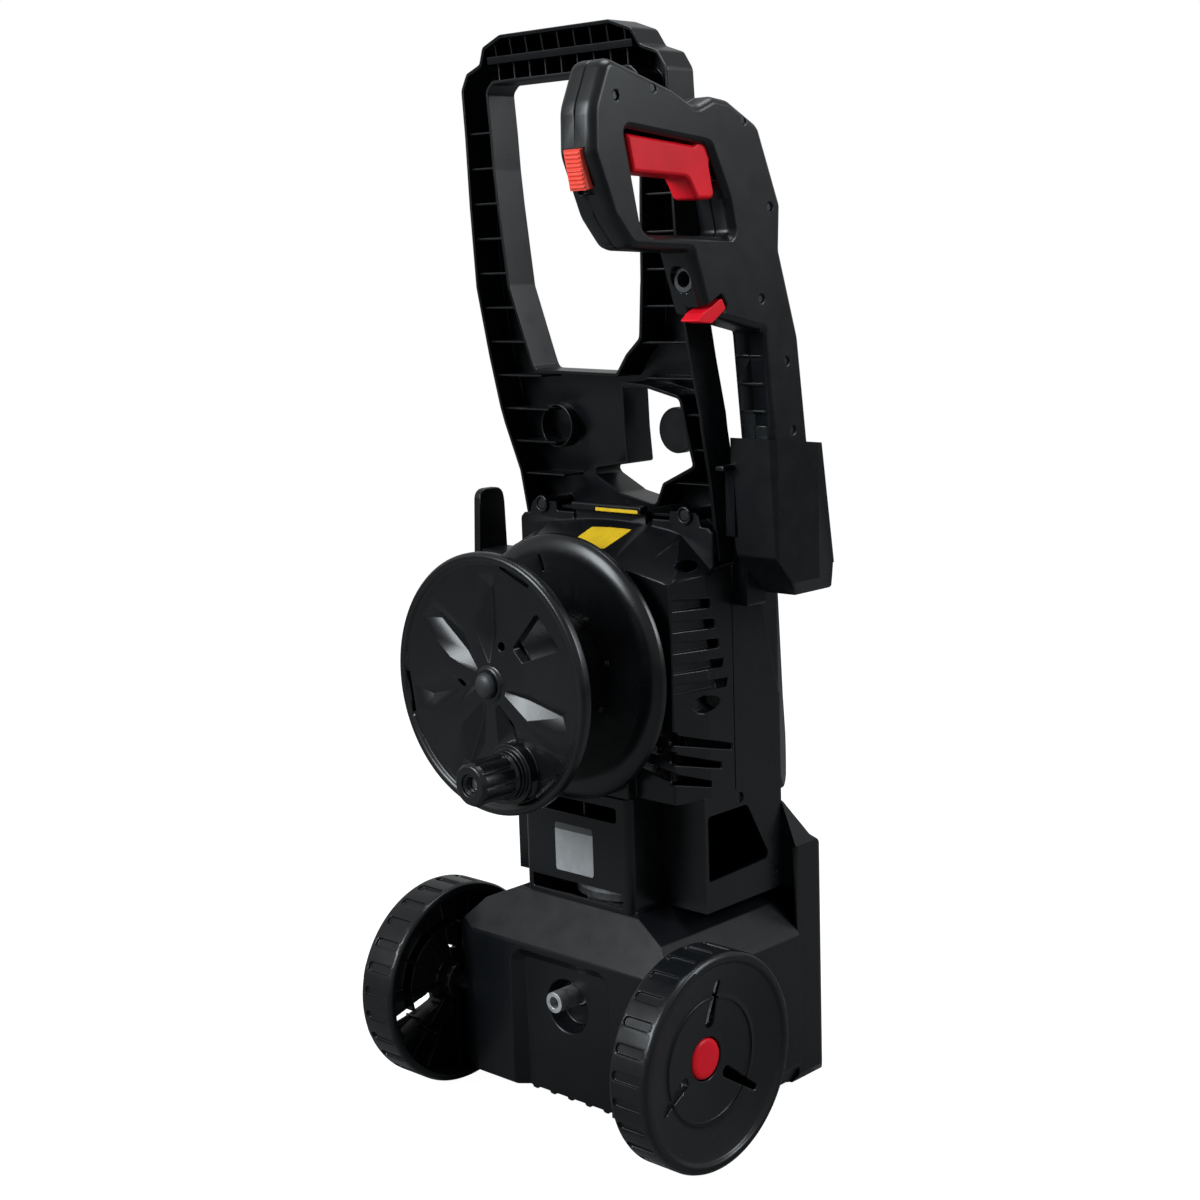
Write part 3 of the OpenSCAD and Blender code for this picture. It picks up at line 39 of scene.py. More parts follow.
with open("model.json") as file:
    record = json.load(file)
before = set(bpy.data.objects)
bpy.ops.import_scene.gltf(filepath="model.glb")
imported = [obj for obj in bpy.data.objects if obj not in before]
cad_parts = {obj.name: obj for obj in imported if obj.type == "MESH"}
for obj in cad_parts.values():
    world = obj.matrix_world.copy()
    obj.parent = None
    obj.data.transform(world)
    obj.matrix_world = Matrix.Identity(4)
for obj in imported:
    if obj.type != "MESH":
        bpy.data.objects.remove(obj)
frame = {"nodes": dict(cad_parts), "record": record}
nodes = frame["nodes"]
bodies = {node: body for body, members in frame["record"]["behaviour"]["bodies"].items()
          for node in members}
slots = {part["node"]: part["material_slot"] for part in frame["record"]["subparts"]}
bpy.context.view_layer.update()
MM = 0.001

# Roundings of edges, in metres and radians
WELD = 8e-6                         # points closer than this are one point
FLAT_ANGLE = math.radians(0.05)     # faces that turn less than this are one face
SHARP_ANGLE = math.radians(28.0)    # edges that turn more than this are rounded
SMOOTH_ANGLE = math.radians(34.0)   # edges that turn less than this shade smoothly
LEAST_ROOM = 0.00025                # an edge with less room stays sharp
WIDE_ROUNDING = 0.002               # roundings over this get one more segment
ROUNDING_TRIES = 4

# Thin films, in metres
FILM_THICKNESS = 0.0002
FILM_LIFT = 0.00025                 # from the surface to the film's face
FILM_COLUMNS, FILM_ROWS = 24, 16

# Levels of the stage's white
AMBIENT = 0.13                      # light from the world on the washer
GLOSSY_SHARE = 0.4                  # how much of the white ground shows in reflections
FLOOR_GLOW = 0.97                   # the floor's own white, to the camera only


# ---- Settings that a user would change ----


class WasherColours(bpy.types.PropertyGroup):
    """Colours of the washer's finishes"""

    body: bpy.props.FloatVectorProperty(
        name="Body", description="Black of the housings, the handle and the wheels",
        subtype="COLOR", size=3, min=0.0, max=1.0, default=(0.0042, 0.0050, 0.0062))
    reel: bpy.props.FloatVectorProperty(
        name="Reel", description="Black of the hose reel",
        subtype="COLOR", size=3, min=0.0, max=1.0, default=(0.0038, 0.0044, 0.0054))
    gun: bpy.props.FloatVectorProperty(
        name="Gun", description="Black of the trigger gun",
        subtype="COLOR", size=3, min=0.0, max=1.0, default=(0.0046, 0.0056, 0.0068))
    inner: bpy.props.FloatVectorProperty(
        name="Inner parts", description="Dark grey of the plastic inside",
        subtype="COLOR", size=3, min=0.0, max=1.0, default=(0.014, 0.015, 0.017))
    trigger: bpy.props.FloatVectorProperty(
        name="Trigger", description="Red of the trigger, caps and clip",
        subtype="COLOR", size=3, min=0.0, max=1.0, default=(0.9, 0.007, 0.022))
    safety: bpy.props.FloatVectorProperty(
        name="Safety", description="Orange red of the safety slider",
        subtype="COLOR", size=3, min=0.0, max=1.0, default=(0.94, 0.09, 0.06))
    label: bpy.props.FloatVectorProperty(
        name="Label", description="Yellow of the bare labels",
        subtype="COLOR", size=3, min=0.0, max=1.0, default=(0.86, 0.56, 0.02))
    plate: bpy.props.FloatVectorProperty(
        name="Plate", description="Silver of the bare nameplate",
        subtype="COLOR", size=3, min=0.0, max=1.0, default=(0.44, 0.45, 0.46))


class WasherSizes(bpy.types.PropertyGroup):
    """Roundings of the washer's edges"""

    housing_edge: bpy.props.FloatProperty(
        name="Housing edge", description="Rounding on the edges of the housings",
        unit="LENGTH", min=0.0, max=0.004, default=0.0011)
    handle_edge: bpy.props.FloatProperty(
        name="Handle edge", description="Rounding on the edges of the handle and its ribs",
        unit="LENGTH", min=0.0, max=0.003, default=0.0008)
    small_edge: bpy.props.FloatProperty(
        name="Small edge", description="Rounding on the edges of small pieces",
        unit="LENGTH", min=0.0, max=0.002, default=0.0005)
    wheel_edge: bpy.props.FloatProperty(
        name="Wheel edge", description="Rounding on the edges of the wheels and the reel",
        unit="LENGTH", min=0.0, max=0.003, default=0.0009)


class WasherLight(bpy.types.PropertyGroup):
    """Light of the stage"""

    key: bpy.props.FloatProperty(
        name="Key", description="Power of the large lamp on the left",
        unit="POWER", min=0.0, default=62.0)
    side: bpy.props.FloatProperty(
        name="Side", description="Power of the lamp on the right",
        unit="POWER", min=0.0, default=36.0)
    top: bpy.props.FloatProperty(
        name="Top", description="Power of the lamp overhead",
        unit="POWER", min=0.0, default=32.0)


# ---- Finishes ----


def empty_tree(owner):
    """The node tree of a material or a world, with nothing in it"""
    owner.use_nodes = True
    owner.node_tree.nodes.clear()
    return owner.node_tree


def new_finish(name):
    """An empty material with its surface shader, ready for nodes"""
    finish = bpy.data.materials.new(name)
    tree = empty_tree(finish)
    out = tree.nodes.new("ShaderNodeOutputMaterial")
    shader = tree.nodes.new("ShaderNodeBsdfPrincipled")
    tree.links.new(shader.outputs[0], out.inputs["Surface"])
    return finish, tree, shader


def washer_space(tree):
    """Coordinates in the washer's own space, in metres"""
    return tree.nodes.new("ShaderNodeTexCoord").outputs["Object"]


def noise_at(tree, scale, detail, rough=0.5):
    """Noise in the washer's own space; scale counts per metre"""
    pattern = tree.nodes.new("ShaderNodeTexNoise")
    pattern.inputs["Scale"].default_value = scale
    pattern.inputs["Detail"].default_value = detail
    pattern.inputs["Roughness"].default_value = rough
    tree.links.new(washer_space(tree), pattern.inputs["Vector"])
    return pattern.outputs["Fac"]


def spread(tree, value, low, high, start=0.3, stop=0.7):
    """A value mapped from start..stop to low..high"""
    reach = tree.nodes.new("ShaderNodeMapRange")
    reach.inputs["From Min"].default_value = start
    reach.inputs["From Max"].default_value = stop
    reach.inputs["To Min"].default_value = low
    reach.inputs["To Max"].default_value = high
    tree.links.new(value, reach.inputs["Value"])
    return reach.outputs["Result"]


def calculate(tree, operation, value, other):
    """A value worked out from another value and a second value or number"""
    step = tree.nodes.new("ShaderNodeMath")
    step.operation = operation
    tree.links.new(value, step.inputs[0])
    if isinstance(other, float):
        step.inputs[1].default_value = other
    else:
        tree.links.new(other, step.inputs[1])
    return step.outputs[0]


def blend_colours(tree, value, first, second):
    """A colour between two, by a value from 0 to 1; the first may be a node's output"""
    mixer = tree.nodes.new("ShaderNodeMix")
    mixer.data_type = "RGBA"
    if isinstance(first, bpy.types.NodeSocket):
        tree.links.new(first, mixer.inputs[6])
    else:
        mixer.inputs[6].default_value = (*first, 1.0)
    mixer.inputs[7].default_value = (*second, 1.0)
    tree.links.new(value, mixer.inputs[0])
    return mixer.outputs[2]


def mottled(tree, colour, dark, light, scale, detail, rough=0.5):
    """A colour that wanders between a darker and a lighter share of itself"""
    value = spread(tree, noise_at(tree, scale, detail, rough), 0.0, 1.0)
    return blend_colours(tree, value, [c * dark for c in colour],
                         [min(1.0, c * light) for c in colour])


def coat(tree, shader, tint, roughness):
    """Gives a surface its colour and its roughness"""
    tree.links.new(tint, shader.inputs["Base Color"])
    tree.links.new(roughness, shader.inputs["Roughness"])


def grained(tree, shader, height, depth, strength=0.5):
    """Fine relief on the surface, from a height between 0 and 1"""
    bump = tree.nodes.new("ShaderNodeBump")
    bump.inputs["Strength"].default_value = strength
    bump.inputs["Distance"].default_value = depth
    tree.links.new(height, bump.inputs["Height"])
    tree.links.new(bump.outputs["Normal"], shader.inputs["Normal"])


def grain_of(tree, scale):
    """The height of a fine grain"""
    return noise_at(tree, scale, detail=3.0, rough=0.6)


def moulded_plastic(name, colour, gloss, grain=1400.0, depth=0.00006, level=0.5, uneven=0.035):
    """Satin moulded plastic: fine spark-eroded grain over a slightly uneven gloss"""
    finish, tree, shader = new_finish(name)
    coat(tree, shader, mottled(tree, colour, dark=0.86, light=1.14, scale=26.0, detail=4.0),
         spread(tree, noise_at(tree, scale=60.0, detail=5.0, rough=0.6),
                low=gloss - uneven, high=gloss + uneven))
    shader.inputs["Specular IOR Level"].default_value = level
    grained(tree, shader, grain_of(tree, grain), depth)
    return finish


def cast_metal(name, colour, rough, grain=700.0, depth=0.00012):
    """Cast or drawn metal with a slightly mottled face"""
    finish, tree, shader = new_finish(name)
    coat(tree, shader,
         mottled(tree, colour, dark=0.72, light=1.12, scale=90.0, detail=5.0, rough=0.65),
         spread(tree, noise_at(tree, scale=140.0, detail=4.0), low=rough - 0.07, high=rough + 0.1))
    shader.inputs["Metallic"].default_value = 1.0
    grained(tree, shader, grain_of(tree, grain), depth)
    return finish


def foot_rubber(name, colour):
    """Matt rubber with a dusty, mottled face"""
    finish, tree, shader = new_finish(name)
    coat(tree, shader,
         mottled(tree, colour, dark=0.8, light=1.6, scale=70.0, detail=5.0, rough=0.7),
         spread(tree, noise_at(tree, scale=160.0, detail=3.0), low=0.7, high=0.86))
    shader.inputs["Specular IOR Level"].default_value = 0.3
    grained(tree, shader, grain_of(tree, 900.0), 0.0001)
    return finish


def wound_copper(name, colour):
    """Lacquered winding wire: fine turns across the coils"""
    finish, tree, shader = new_finish(name)
    turns = tree.nodes.new("ShaderNodeTexWave")
    turns.wave_type = "BANDS"
    turns.bands_direction = "Z"
    turns.inputs["Scale"].default_value = 260.0
    turns.inputs["Distortion"].default_value = 1.5
    tree.links.new(washer_space(tree), turns.inputs["Vector"])
    wire = turns.outputs["Fac"]
    tree.links.new(blend_colours(tree, wire, [c * 0.45 for c in colour], colour),
                   shader.inputs["Base Color"])
    shader.inputs["Metallic"].default_value = 0.9
    shader.inputs["Roughness"].default_value = 0.38
    grained(tree, shader, wire, 0.0003, strength=0.6)
    return finish


def printed_sheet(name, colour, rough, metal=0.0, head=None):
    """Foil or film with faint waves and handling marks, plain dark above the height of its head"""
    finish, tree, shader = new_finish(name)
    tint = mottled(tree, colour, dark=0.9, light=1.06, scale=120.0, detail=4.0)
    if head is not None:
        axes = tree.nodes.new("ShaderNodeSeparateXYZ")
        tree.links.new(washer_space(tree), axes.inputs[0])
        above = spread(tree, axes.outputs["Z"], 0.0, 1.0, start=head, stop=head + 0.0001)
        tint = blend_colours(tree, above, tint, (0.1, 0.102, 0.105))
    coat(tree, shader, tint,
         spread(tree, noise_at(tree, scale=220.0, detail=3.0), low=rough - 0.06, high=rough + 0.08))
    shader.inputs["Metallic"].default_value = metal
    grained(tree, shader, grain_of(tree, 160.0), 0.0001, strength=0.25)
    return finish


def colour_of(name):
    """A colour from the panel's settings"""
    return tuple(getattr(bpy.context.scene.washer_colours, name))


def finish_for(slot):
    """The finish of a material slot, made once; blackened_steel is the one not in the record"""
    name = slot + "_finish"
    makers = {
        "body_plastic": lambda: moulded_plastic(
            name, colour_of("body"), gloss=0.3, depth=0.00003, level=0.3),
        "reel_plastic": lambda: moulded_plastic(
            name, colour_of("reel"), gloss=0.28, grain=1600.0, depth=0.00001, level=0.38,
            uneven=0.015),
        "dark_plastic": lambda: moulded_plastic(
            name, colour_of("inner"), gloss=0.5),
        "wheel_plastic": lambda: moulded_plastic(
            name, colour_of("body"), gloss=0.3, grain=1500.0, depth=0.00003, level=0.32),
        "gun_plastic": lambda: moulded_plastic(
            name, colour_of("gun"), gloss=0.33, grain=1300.0, depth=0.00004, level=0.3),
        "red_plastic": lambda: moulded_plastic(
            name, colour_of("trigger"), gloss=0.4, grain=1500.0, depth=0.00003, level=0.22),
        "safety_plastic": lambda: moulded_plastic(
            name, colour_of("safety"), gloss=0.4, grain=1500.0, depth=0.00003, level=0.3),
        "foot_rubber": lambda: foot_rubber(name, (0.012, 0.012, 0.013)),
        "cast_zinc": lambda: cast_metal(name, (0.62, 0.63, 0.64), rough=0.5),
        "steel": lambda: cast_metal(
            name, (0.52, 0.53, 0.55), rough=0.3, grain=1800.0, depth=0.00003),
        "blackened_steel": lambda: cast_metal(
            name, (0.05, 0.052, 0.056), rough=0.4, grain=1800.0, depth=0.00003),
        # Much darker than bare aluminium: painted shade on the inner parts inside the housing
        "cast_aluminium": lambda: cast_metal(name, (0.22, 0.225, 0.235), rough=0.5),
        "winding_copper": lambda: wound_copper(name, (0.72, 0.3, 0.12)),
        "valve_brass": lambda: cast_metal(
            name, (0.72, 0.52, 0.22), rough=0.3, grain=1500.0, depth=0.00004),
    }
    return bpy.data.materials.get(name) or makers[slot]()


# ---- Making pieces ----


def room_beside(edge, vert, sharp):
    """How wide an edge may be rounded at one end before it meets the next edge"""
    straight_on = -0.85         # cosine of an edge that carries on along this one
    sharp_share, plain_share = 0.46, 0.9
    least_slant = 0.15
    along = (edge.other_vert(vert).co - vert.co).normalized()
    faces = set(edge.link_faces)
    room = 1.0
    for other in vert.link_edges:
        if other is edge or not faces.intersection(other.link_faces):
            continue
        away = other.other_vert(vert).co - vert.co
        length = away.length
        if length < 1e-7:
            return 0.0
        turn = along.dot(away / length)
        if turn < straight_on:
            continue
        share = sharp_share if other in sharp else plain_share
        slant = math.sqrt(max(0.0, 1.0 - turn * turn))
        room = min(room, length * share * max(least_slant, slant))
    return room


def put_in_scene(mesh, name, finish):
    """A new object with one finish"""
    piece = bpy.data.objects.new(name, mesh)
    bpy.context.scene.collection.objects.link(piece)
    mesh.materials.clear()
    mesh.materials.append(finish)
    return piece


def mesh_from(bm, name):
    """A named mesh, made from a bmesh that isn't needed any more"""
    mesh = bpy.data.meshes.new(name)
    bm.to_mesh(mesh)
    bm.free()
    return mesh


def shaped_mesh(piece):
    """The mesh that a piece has with its modifiers"""
    bpy.context.view_layer.update()
    graph = bpy.context.evaluated_depsgraph_get()
    return bpy.data.meshes.new_from_object(piece.evaluated_get(graph))


def swap_mesh(piece, shaped):
    """Puts a shaped mesh in place of a piece's own mesh and modifiers"""
    old = piece.data
    piece.modifiers.clear()
    piece.data = shaped
    shaped.name = piece.name
    bpy.data.meshes.remove(old)


def spoiled_spots(mesh, surface, reach):
    """Points where a rounded mesh strays from the surface that it came from or folds over"""
    sliver_area = 2e-8
    folded_over = -0.3          # cosine between a face and the surface below it
    bm = bmesh.new()
    bm.from_mesh(mesh)
    spots = [v.co.copy() for v in bm.verts if surface.find_nearest(v.co)[3] > reach]
    bmesh.ops.triangulate(bm, faces=bm.faces[:])
    for face in bm.faces:
        if face.calc_area() > sliver_area:
            _, normal, _, distance = surface.find_nearest(face.calc_center_median())
            if distance > reach or normal.dot(face.normal) < folded_over:
                spots.extend(v.co.copy() for v in face.verts)
    bm.free()
    return spots


def whole_faces(node):
    """A node's mesh with its split points joined and its flat faces made whole"""
    base = bmesh.new()
    base.from_mesh(nodes[node].data)
    bmesh.ops.remove_doubles(base, verts=base.verts, dist=WELD)
    bmesh.ops.dissolve_limit(base, angle_limit=FLAT_ANGLE, verts=base.verts, edges=base.edges)
    for face in base.faces:
        face.smooth = True
    return base


def weigh_edges(base, edge, share):
    """Weighs the sharp edges by their room, and makes a tree of points that finds them again"""
    step = 0.002
    weights = base.edges.layers.float.new("bevel_weight_edge")
    sharp = [e for e in base.edges
             if len(e.link_faces) == 2 and e.calc_face_angle(0.0) > SHARP_ANGLE]
    known = set(sharp)
    along = []
    for i, e in enumerate(sharp):
        room = min(room_beside(e, e.verts[0], known), room_beside(e, e.verts[1], known))
        e[weights] = min(1.0, share * room / edge) if room > LEAST_ROOM else 0.0
        start, stop = e.verts[0].co, e.verts[1].co
        count = max(1, int((stop - start).length / step))
        along.extend((start.lerp(stop, k / count), i) for k in range(count + 1))
    near = KDTree(len(along))
    for place, i in along:
        near.insert(place, i)
    near.balance()
    return sharp, weights, near


def rounded_copy(node, edge, finish=None, share=1.0):
    """A copy that stands for a node, its sharp edges rounded by up to a share of their room"""
    stray_share = 0.75          # how far the surface may move, as a share of the rounding
    edges_at_spot = 3
    first_reach, more_reach = 2.5, 2
    base = whole_faces(node)
    sharp, weights, near = weigh_edges(base, edge, share)
    surface = BVHTree.FromBMesh(base)
    piece = put_in_scene(bpy.data.meshes.new(node), node + "_moulded",
                         finish or finish_for(slots[node]))
    bevel = piece.modifiers.new("Rounding", "BEVEL")
    bevel.limit_method = "WEIGHT"
    bevel.width = edge
    bevel.segments = 3 if edge > WIDE_ROUNDING else 2
    bevel.use_clamp_overlap = False
    # An edge whose rounding spoils the surface stays sharp
    for attempt in range(ROUNDING_TRIES):
        base.to_mesh(piece.data)
        shaped = shaped_mesh(piece)
        spots = spoiled_spots(shaped, surface, edge * stray_share)
        if not spots or attempt == ROUNDING_TRIES - 1:
            break
        bpy.data.meshes.remove(shaped)
        reach = edge * (first_reach + more_reach * attempt)
        for spot in spots:
            for _, i, distance in near.find_n(spot, edges_at_spot):
                if distance < reach:
                    sharp[i][weights] = 0.0
    base.free()
    swap_mesh(piece, shaped)
    shaped.set_sharp_from_angle(angle=SMOOTH_ANGLE)
    shading = piece.modifiers.new("Even shading", "WEIGHTED_NORMAL")
    shading.keep_sharp = True
    shading.weight = 60
    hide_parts(node)
    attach(piece, bodies[node])
    return piece


def round_corners(points, radius, steps):
    """An outline with arcs in its right-angled corners"""
    outline = []
    for i, (x, z) in enumerate(points):
        before, after = Vector(points[i - 1]), Vector(points[(i + 1) % len(points)])
        corner = Vector((x, z))
        inward = (before - corner).normalized() * radius
        onward = (after - corner).normalized() * radius
        centre = corner + inward + onward
        for k in range(steps + 1):
            turn = math.pi / 2 * k / steps
            outline.append(tuple(centre - onward * math.cos(turn) - inward * math.sin(turn)))
    return outline


def onto_arc(x, y, wide, tall, corner):
    """A point of a sheet, moved onto the arc where it lies in a corner's square"""
    dx = max(corner - x, x - wide + corner, 0.0)
    dy = max(corner - y, y - tall + corner, 0.0)
    reach = math.hypot(dx, dy)
    if reach > corner:
        x += (1 if x < wide / 2 else -1) * dx * (1 - corner / reach)
        y += (1 if y < tall / 2 else -1) * dy * (1 - corner / reach)
    return x, y


def label_on(name, node, corners, press, finish, radius):
    """A thin film pressed onto a node: its outline's corners and their radius, in millimetres"""
    run_up = 0.08               # the rays start this far out, in metres
    surface = BVHTree.FromPolygons([v.co for v in nodes[node].data.vertices],
                                   [f.vertices for f in nodes[node].data.polygons])
    a, b, c, d = [Vector(p) * MM for p in corners]
    press = Vector(press)
    wide = ((b - a).length + (c - d).length) / 2
    tall = ((d - a).length + (c - b).length) / 2
    bm = bmesh.new()
    rows = []
    for j in range(FILM_ROWS + 1):
        row = []
        for i in range(FILM_COLUMNS + 1):
            x, y = onto_arc(wide * i / FILM_COLUMNS, tall * j / FILM_ROWS, wide, tall, radius * MM)
            u, v = x / wide, y / tall
            spot = a.lerp(b, u).lerp(d.lerp(c, u), v)
            hit = surface.ray_cast(spot - press * run_up, press)[0]
            if hit is None:
                raise RuntimeError(name + " misses " + node)
            row.append(bm.verts.new(hit - press * FILM_LIFT))
        rows.append(row)
    for low, high in zip(rows, rows[1:]):
        for i in range(FILM_COLUMNS):
            bm.faces.new((low[i], low[i + 1], high[i + 1], high[i]))
    bmesh.ops.recalc_face_normals(bm, faces=bm.faces)
    if sum((f.normal for f in bm.faces), Vector()).dot(press) > 0:
        bmesh.ops.reverse_faces(bm, faces=bm.faces)
    film = put_in_scene(mesh_from(bm, name), name, finish)
    film.modifiers.new("Film", "SOLIDIFY").thickness = FILM_THICKNESS
    swap_mesh(film, shaped_mesh(film))
    film.data.shade_smooth()
    film.data.set_sharp_from_angle(angle=math.radians(40))
    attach(film, bodies[node])
    return film


# ---- Stage ----


def make_floor():
    """A pale floor that shows as the white ground and keeps the washer's shadow"""
    reach = 30.0
    mesh = bpy.data.meshes.new("floor")
    mesh.from_pydata([(-reach, -reach, 0), (reach, -reach, 0), (reach, reach, 0),
                      (-reach, reach, 0)], [], [(0, 1, 2, 3)])
    finish = bpy.data.materials.new("floor_paper")
    tree = empty_tree(finish)
    out = tree.nodes.new("ShaderNodeOutputMaterial")
    paper = tree.nodes.new("ShaderNodeBsdfDiffuse")
    paper.inputs["Color"].default_value = (0.24, 0.24, 0.24, 1.0)
    glow = tree.nodes.new("ShaderNodeEmission")
    glow.inputs["Color"].default_value = (1.0, 1.0, 1.0, 1.0)
    rays = tree.nodes.new("ShaderNodeLightPath")
    tree.links.new(calculate(tree, "MULTIPLY", rays.outputs["Is Camera Ray"], FLOOR_GLOW),
                   glow.inputs["Strength"])
    both = tree.nodes.new("ShaderNodeAddShader")
    tree.links.new(paper.outputs[0], both.inputs[0])
    tree.links.new(glow.outputs[0], both.inputs[1])
    tree.links.new(both.outputs[0], out.inputs["Surface"])
    floor = put_in_scene(mesh, "floor", finish)


def make_world(scene):
    """Soft grey light around, white to the camera and through glass, paler in reflections"""
    world = bpy.data.worlds.new("studio")
    scene.world = world
    tree = empty_tree(world)
    out = tree.nodes.new("ShaderNodeOutputWorld")
    ground = tree.nodes.new("ShaderNodeBackground")
    ground.inputs["Color"].default_value = (1.0, 1.0, 1.0, 1.0)
    rays = tree.nodes.new("ShaderNodeLightPath")
    sheen = calculate(tree, "MULTIPLY", rays.outputs["Is Glossy Ray"], GLOSSY_SHARE)
    seen = calculate(tree, "MAXIMUM", rays.outputs["Is Camera Ray"], sheen)
    white = calculate(tree, "MAXIMUM", seen, rays.outputs["Is Transmission Ray"])
    tree.links.new(spread(tree, white, low=AMBIENT, high=1.0, start=0.0, stop=1.0),
                   ground.inputs["Strength"])
    tree.links.new(ground.outputs[0], out.inputs["Surface"])


def soft_lamp(name, place, target, wide, tall, power):
    """A large rectangular lamp that faces a point"""
    light = bpy.data.lights.new(name, "AREA")
    light.shape = "RECTANGLE"
    light.size = wide
    light.size_y = tall
    light.energy = power
    light.color = (0.9, 0.965, 1.0)
    lamp = bpy.data.objects.new(name, light)
    bpy.context.scene.collection.objects.link(lamp)
    lamp.location = place
    lamp.rotation_euler = (Vector(target) - Vector(place)).to_track_quat("-Z", "Y").to_euler()


def make_camera(scene):
    """The camera, from a little above on the right of the reel"""
    eye = Vector((1.1435, -1.1843, 0.72175))
    yaw = math.radians(43.207)
    pitch = math.radians(9.268)
    roll = math.radians(-1.770)
    ahead = Vector((-math.sin(yaw) * math.cos(pitch), math.cos(yaw) * math.cos(pitch),
                    -math.sin(pitch)))
    level = Vector((math.cos(yaw), math.sin(yaw), 0.0))
    rise = level.cross(ahead)
    right = level * math.cos(roll) + rise * math.sin(roll)
    up = rise * math.cos(roll) - level * math.sin(roll)
    turn = Matrix((right, up, -ahead)).transposed().to_4x4()
    lens = bpy.data.cameras.new("camera")
    lens.sensor_width = 36.0
    lens.lens = 59.819
    lens.shift_x = -0.01107
    lens.shift_y = -0.01053
    lens.clip_end = 100.0
    camera = bpy.data.objects.new("camera", lens)
    scene.collection.objects.link(camera)
    camera.matrix_world = Matrix.Translation(eye) @ turn
    scene.camera = camera


# ---- Operators ----


class DressHousings(bpy.types.Operator):
    """Round and finish the rear housing, the motor hood and the front housing"""

    bl_idname = "washer.dress_housings"
    bl_label = "Housings"

    def execute(self, context):
        edge = context.scene.washer_sizes.housing_edge
        for node, times in (("rear_shell", 1.0), ("motor_hood", 1.2), ("front_shell", 2.4),
                            ("front_cover_upper", 3.6), ("front_cover_lower", 3.6)):
            rounded_copy(node, edge * times)
        return {"FINISHED"}


class DressHandle(bpy.types.Operator):
    """Round and finish the handle, the gun's holster and the cord hook"""

    bl_idname = "washer.dress_handle"
    bl_label = "Handle"

    def execute(self, context):
        sizes = context.scene.washer_sizes
        rounded_copy("handle_frame", sizes.handle_edge)
        rounded_copy("holster_cup", sizes.housing_edge * 2.5, share=0.4)
        rounded_copy("cord_hook", sizes.housing_edge)
        return {"FINISHED"}


class DressWheels(bpy.types.Operator):
    """Round and finish the wheels, their capped pins and the rubber feet"""

    bl_idname = "washer.dress_wheels"
    bl_label = "Wheels and feet"

    def execute(self, context):
        sizes = context.scene.washer_sizes
        cap_depth = 7 * MM
        for side in ("left", "right"):
            rounded_copy("wheel_" + side, sizes.wheel_edge)
            pin = rounded_copy("wheel_pin_" + side, sizes.wheel_edge)
            pin.data.materials.append(finish_for("blackened_steel"))
            cap_start = max(abs(v.co.x) for v in pin.data.vertices) - cap_depth
            for face in pin.data.polygons:
                if abs(face.center.x) < cap_start:
                    face.material_index = 1
        rounded_copy("front_feet", sizes.wheel_edge)
        return {"FINISHED"}


class DressReel(bpy.types.Operator):
    """Round and finish the hose reel and its crank"""

    bl_idname = "washer.dress_reel"
    bl_label = "Hose reel"

    def execute(self, context):
        sizes = context.scene.washer_sizes
        for node in ("reel_spindle", "reel_rear_disc", "reel_drum", "reel_front_disc",
                     "crank_pin", "crank_knob"):
            rounded_copy(node, sizes.wheel_edge)
        rounded_copy("spindle_cap", sizes.small_edge)
        return {"FINISHED"}


class DressGun(bpy.types.Operator):
    """Round and finish the trigger gun with its lance"""

    bl_idname = "washer.dress_gun"
    bl_label = "Trigger gun"

    def execute(self, context):
        sizes = context.scene.washer_sizes
        for node in ("gun_shell_left", "gun_shell_right"):
            rounded_copy(node, sizes.small_edge * 3, share=0.5)
        for node in ("hose_port", "lance_tube", "lance_nozzle",
                     "gun_trigger", "gun_safety", "gun_release", "gun_valve"):
            rounded_copy(node, sizes.small_edge)
        return {"FINISHED"}


class DressFittings(bpy.types.Operator):
    """Round and finish the hose outlet, the water inlet and the switch"""

    bl_idname = "washer.dress_fittings"
    bl_label = "Fittings and switch"

    def execute(self, context):
        edge = context.scene.washer_sizes.small_edge
        for node in ("outlet_tube", "water_inlet", "switch_knob"):
            rounded_copy(node, edge)
        return {"FINISHED"}


class DressScrews(bpy.types.Operator):
    """Round and finish the screws and the trigger's pin"""

    bl_idname = "washer.dress_screws"
    bl_label = "Screws"

    def execute(self, context):
        head_edge = 0.0003
        for node in ("handle_screws", "shell_screws", "gun_screws", "trigger_pin"):
            rounded_copy(node, head_edge, finish_for("blackened_steel"))
        return {"FINISHED"}


class FinishWorks(bpy.types.Operator):
    """Give the motor, the pump and the other inner pieces their finishes"""

    bl_idname = "washer.finish_works"
    bl_label = "Motor and pump"

    def execute(self, context):
        for node in ("motor_can", "motor_stator", "motor_bearings", "motor_shaft", "motor_rotor",
                     "motor_fan", "swash_plate", "swash_housing", "pump_block", "pump_head",
                     "piston_1", "piston_2", "piston_3", "switch_box", "capacitor",
                     "trigger_spring"):
            part = nodes[node]
            part.data.materials.clear()
            part.data.materials.append(finish_for(slots[node]))
        return {"FINISHED"}


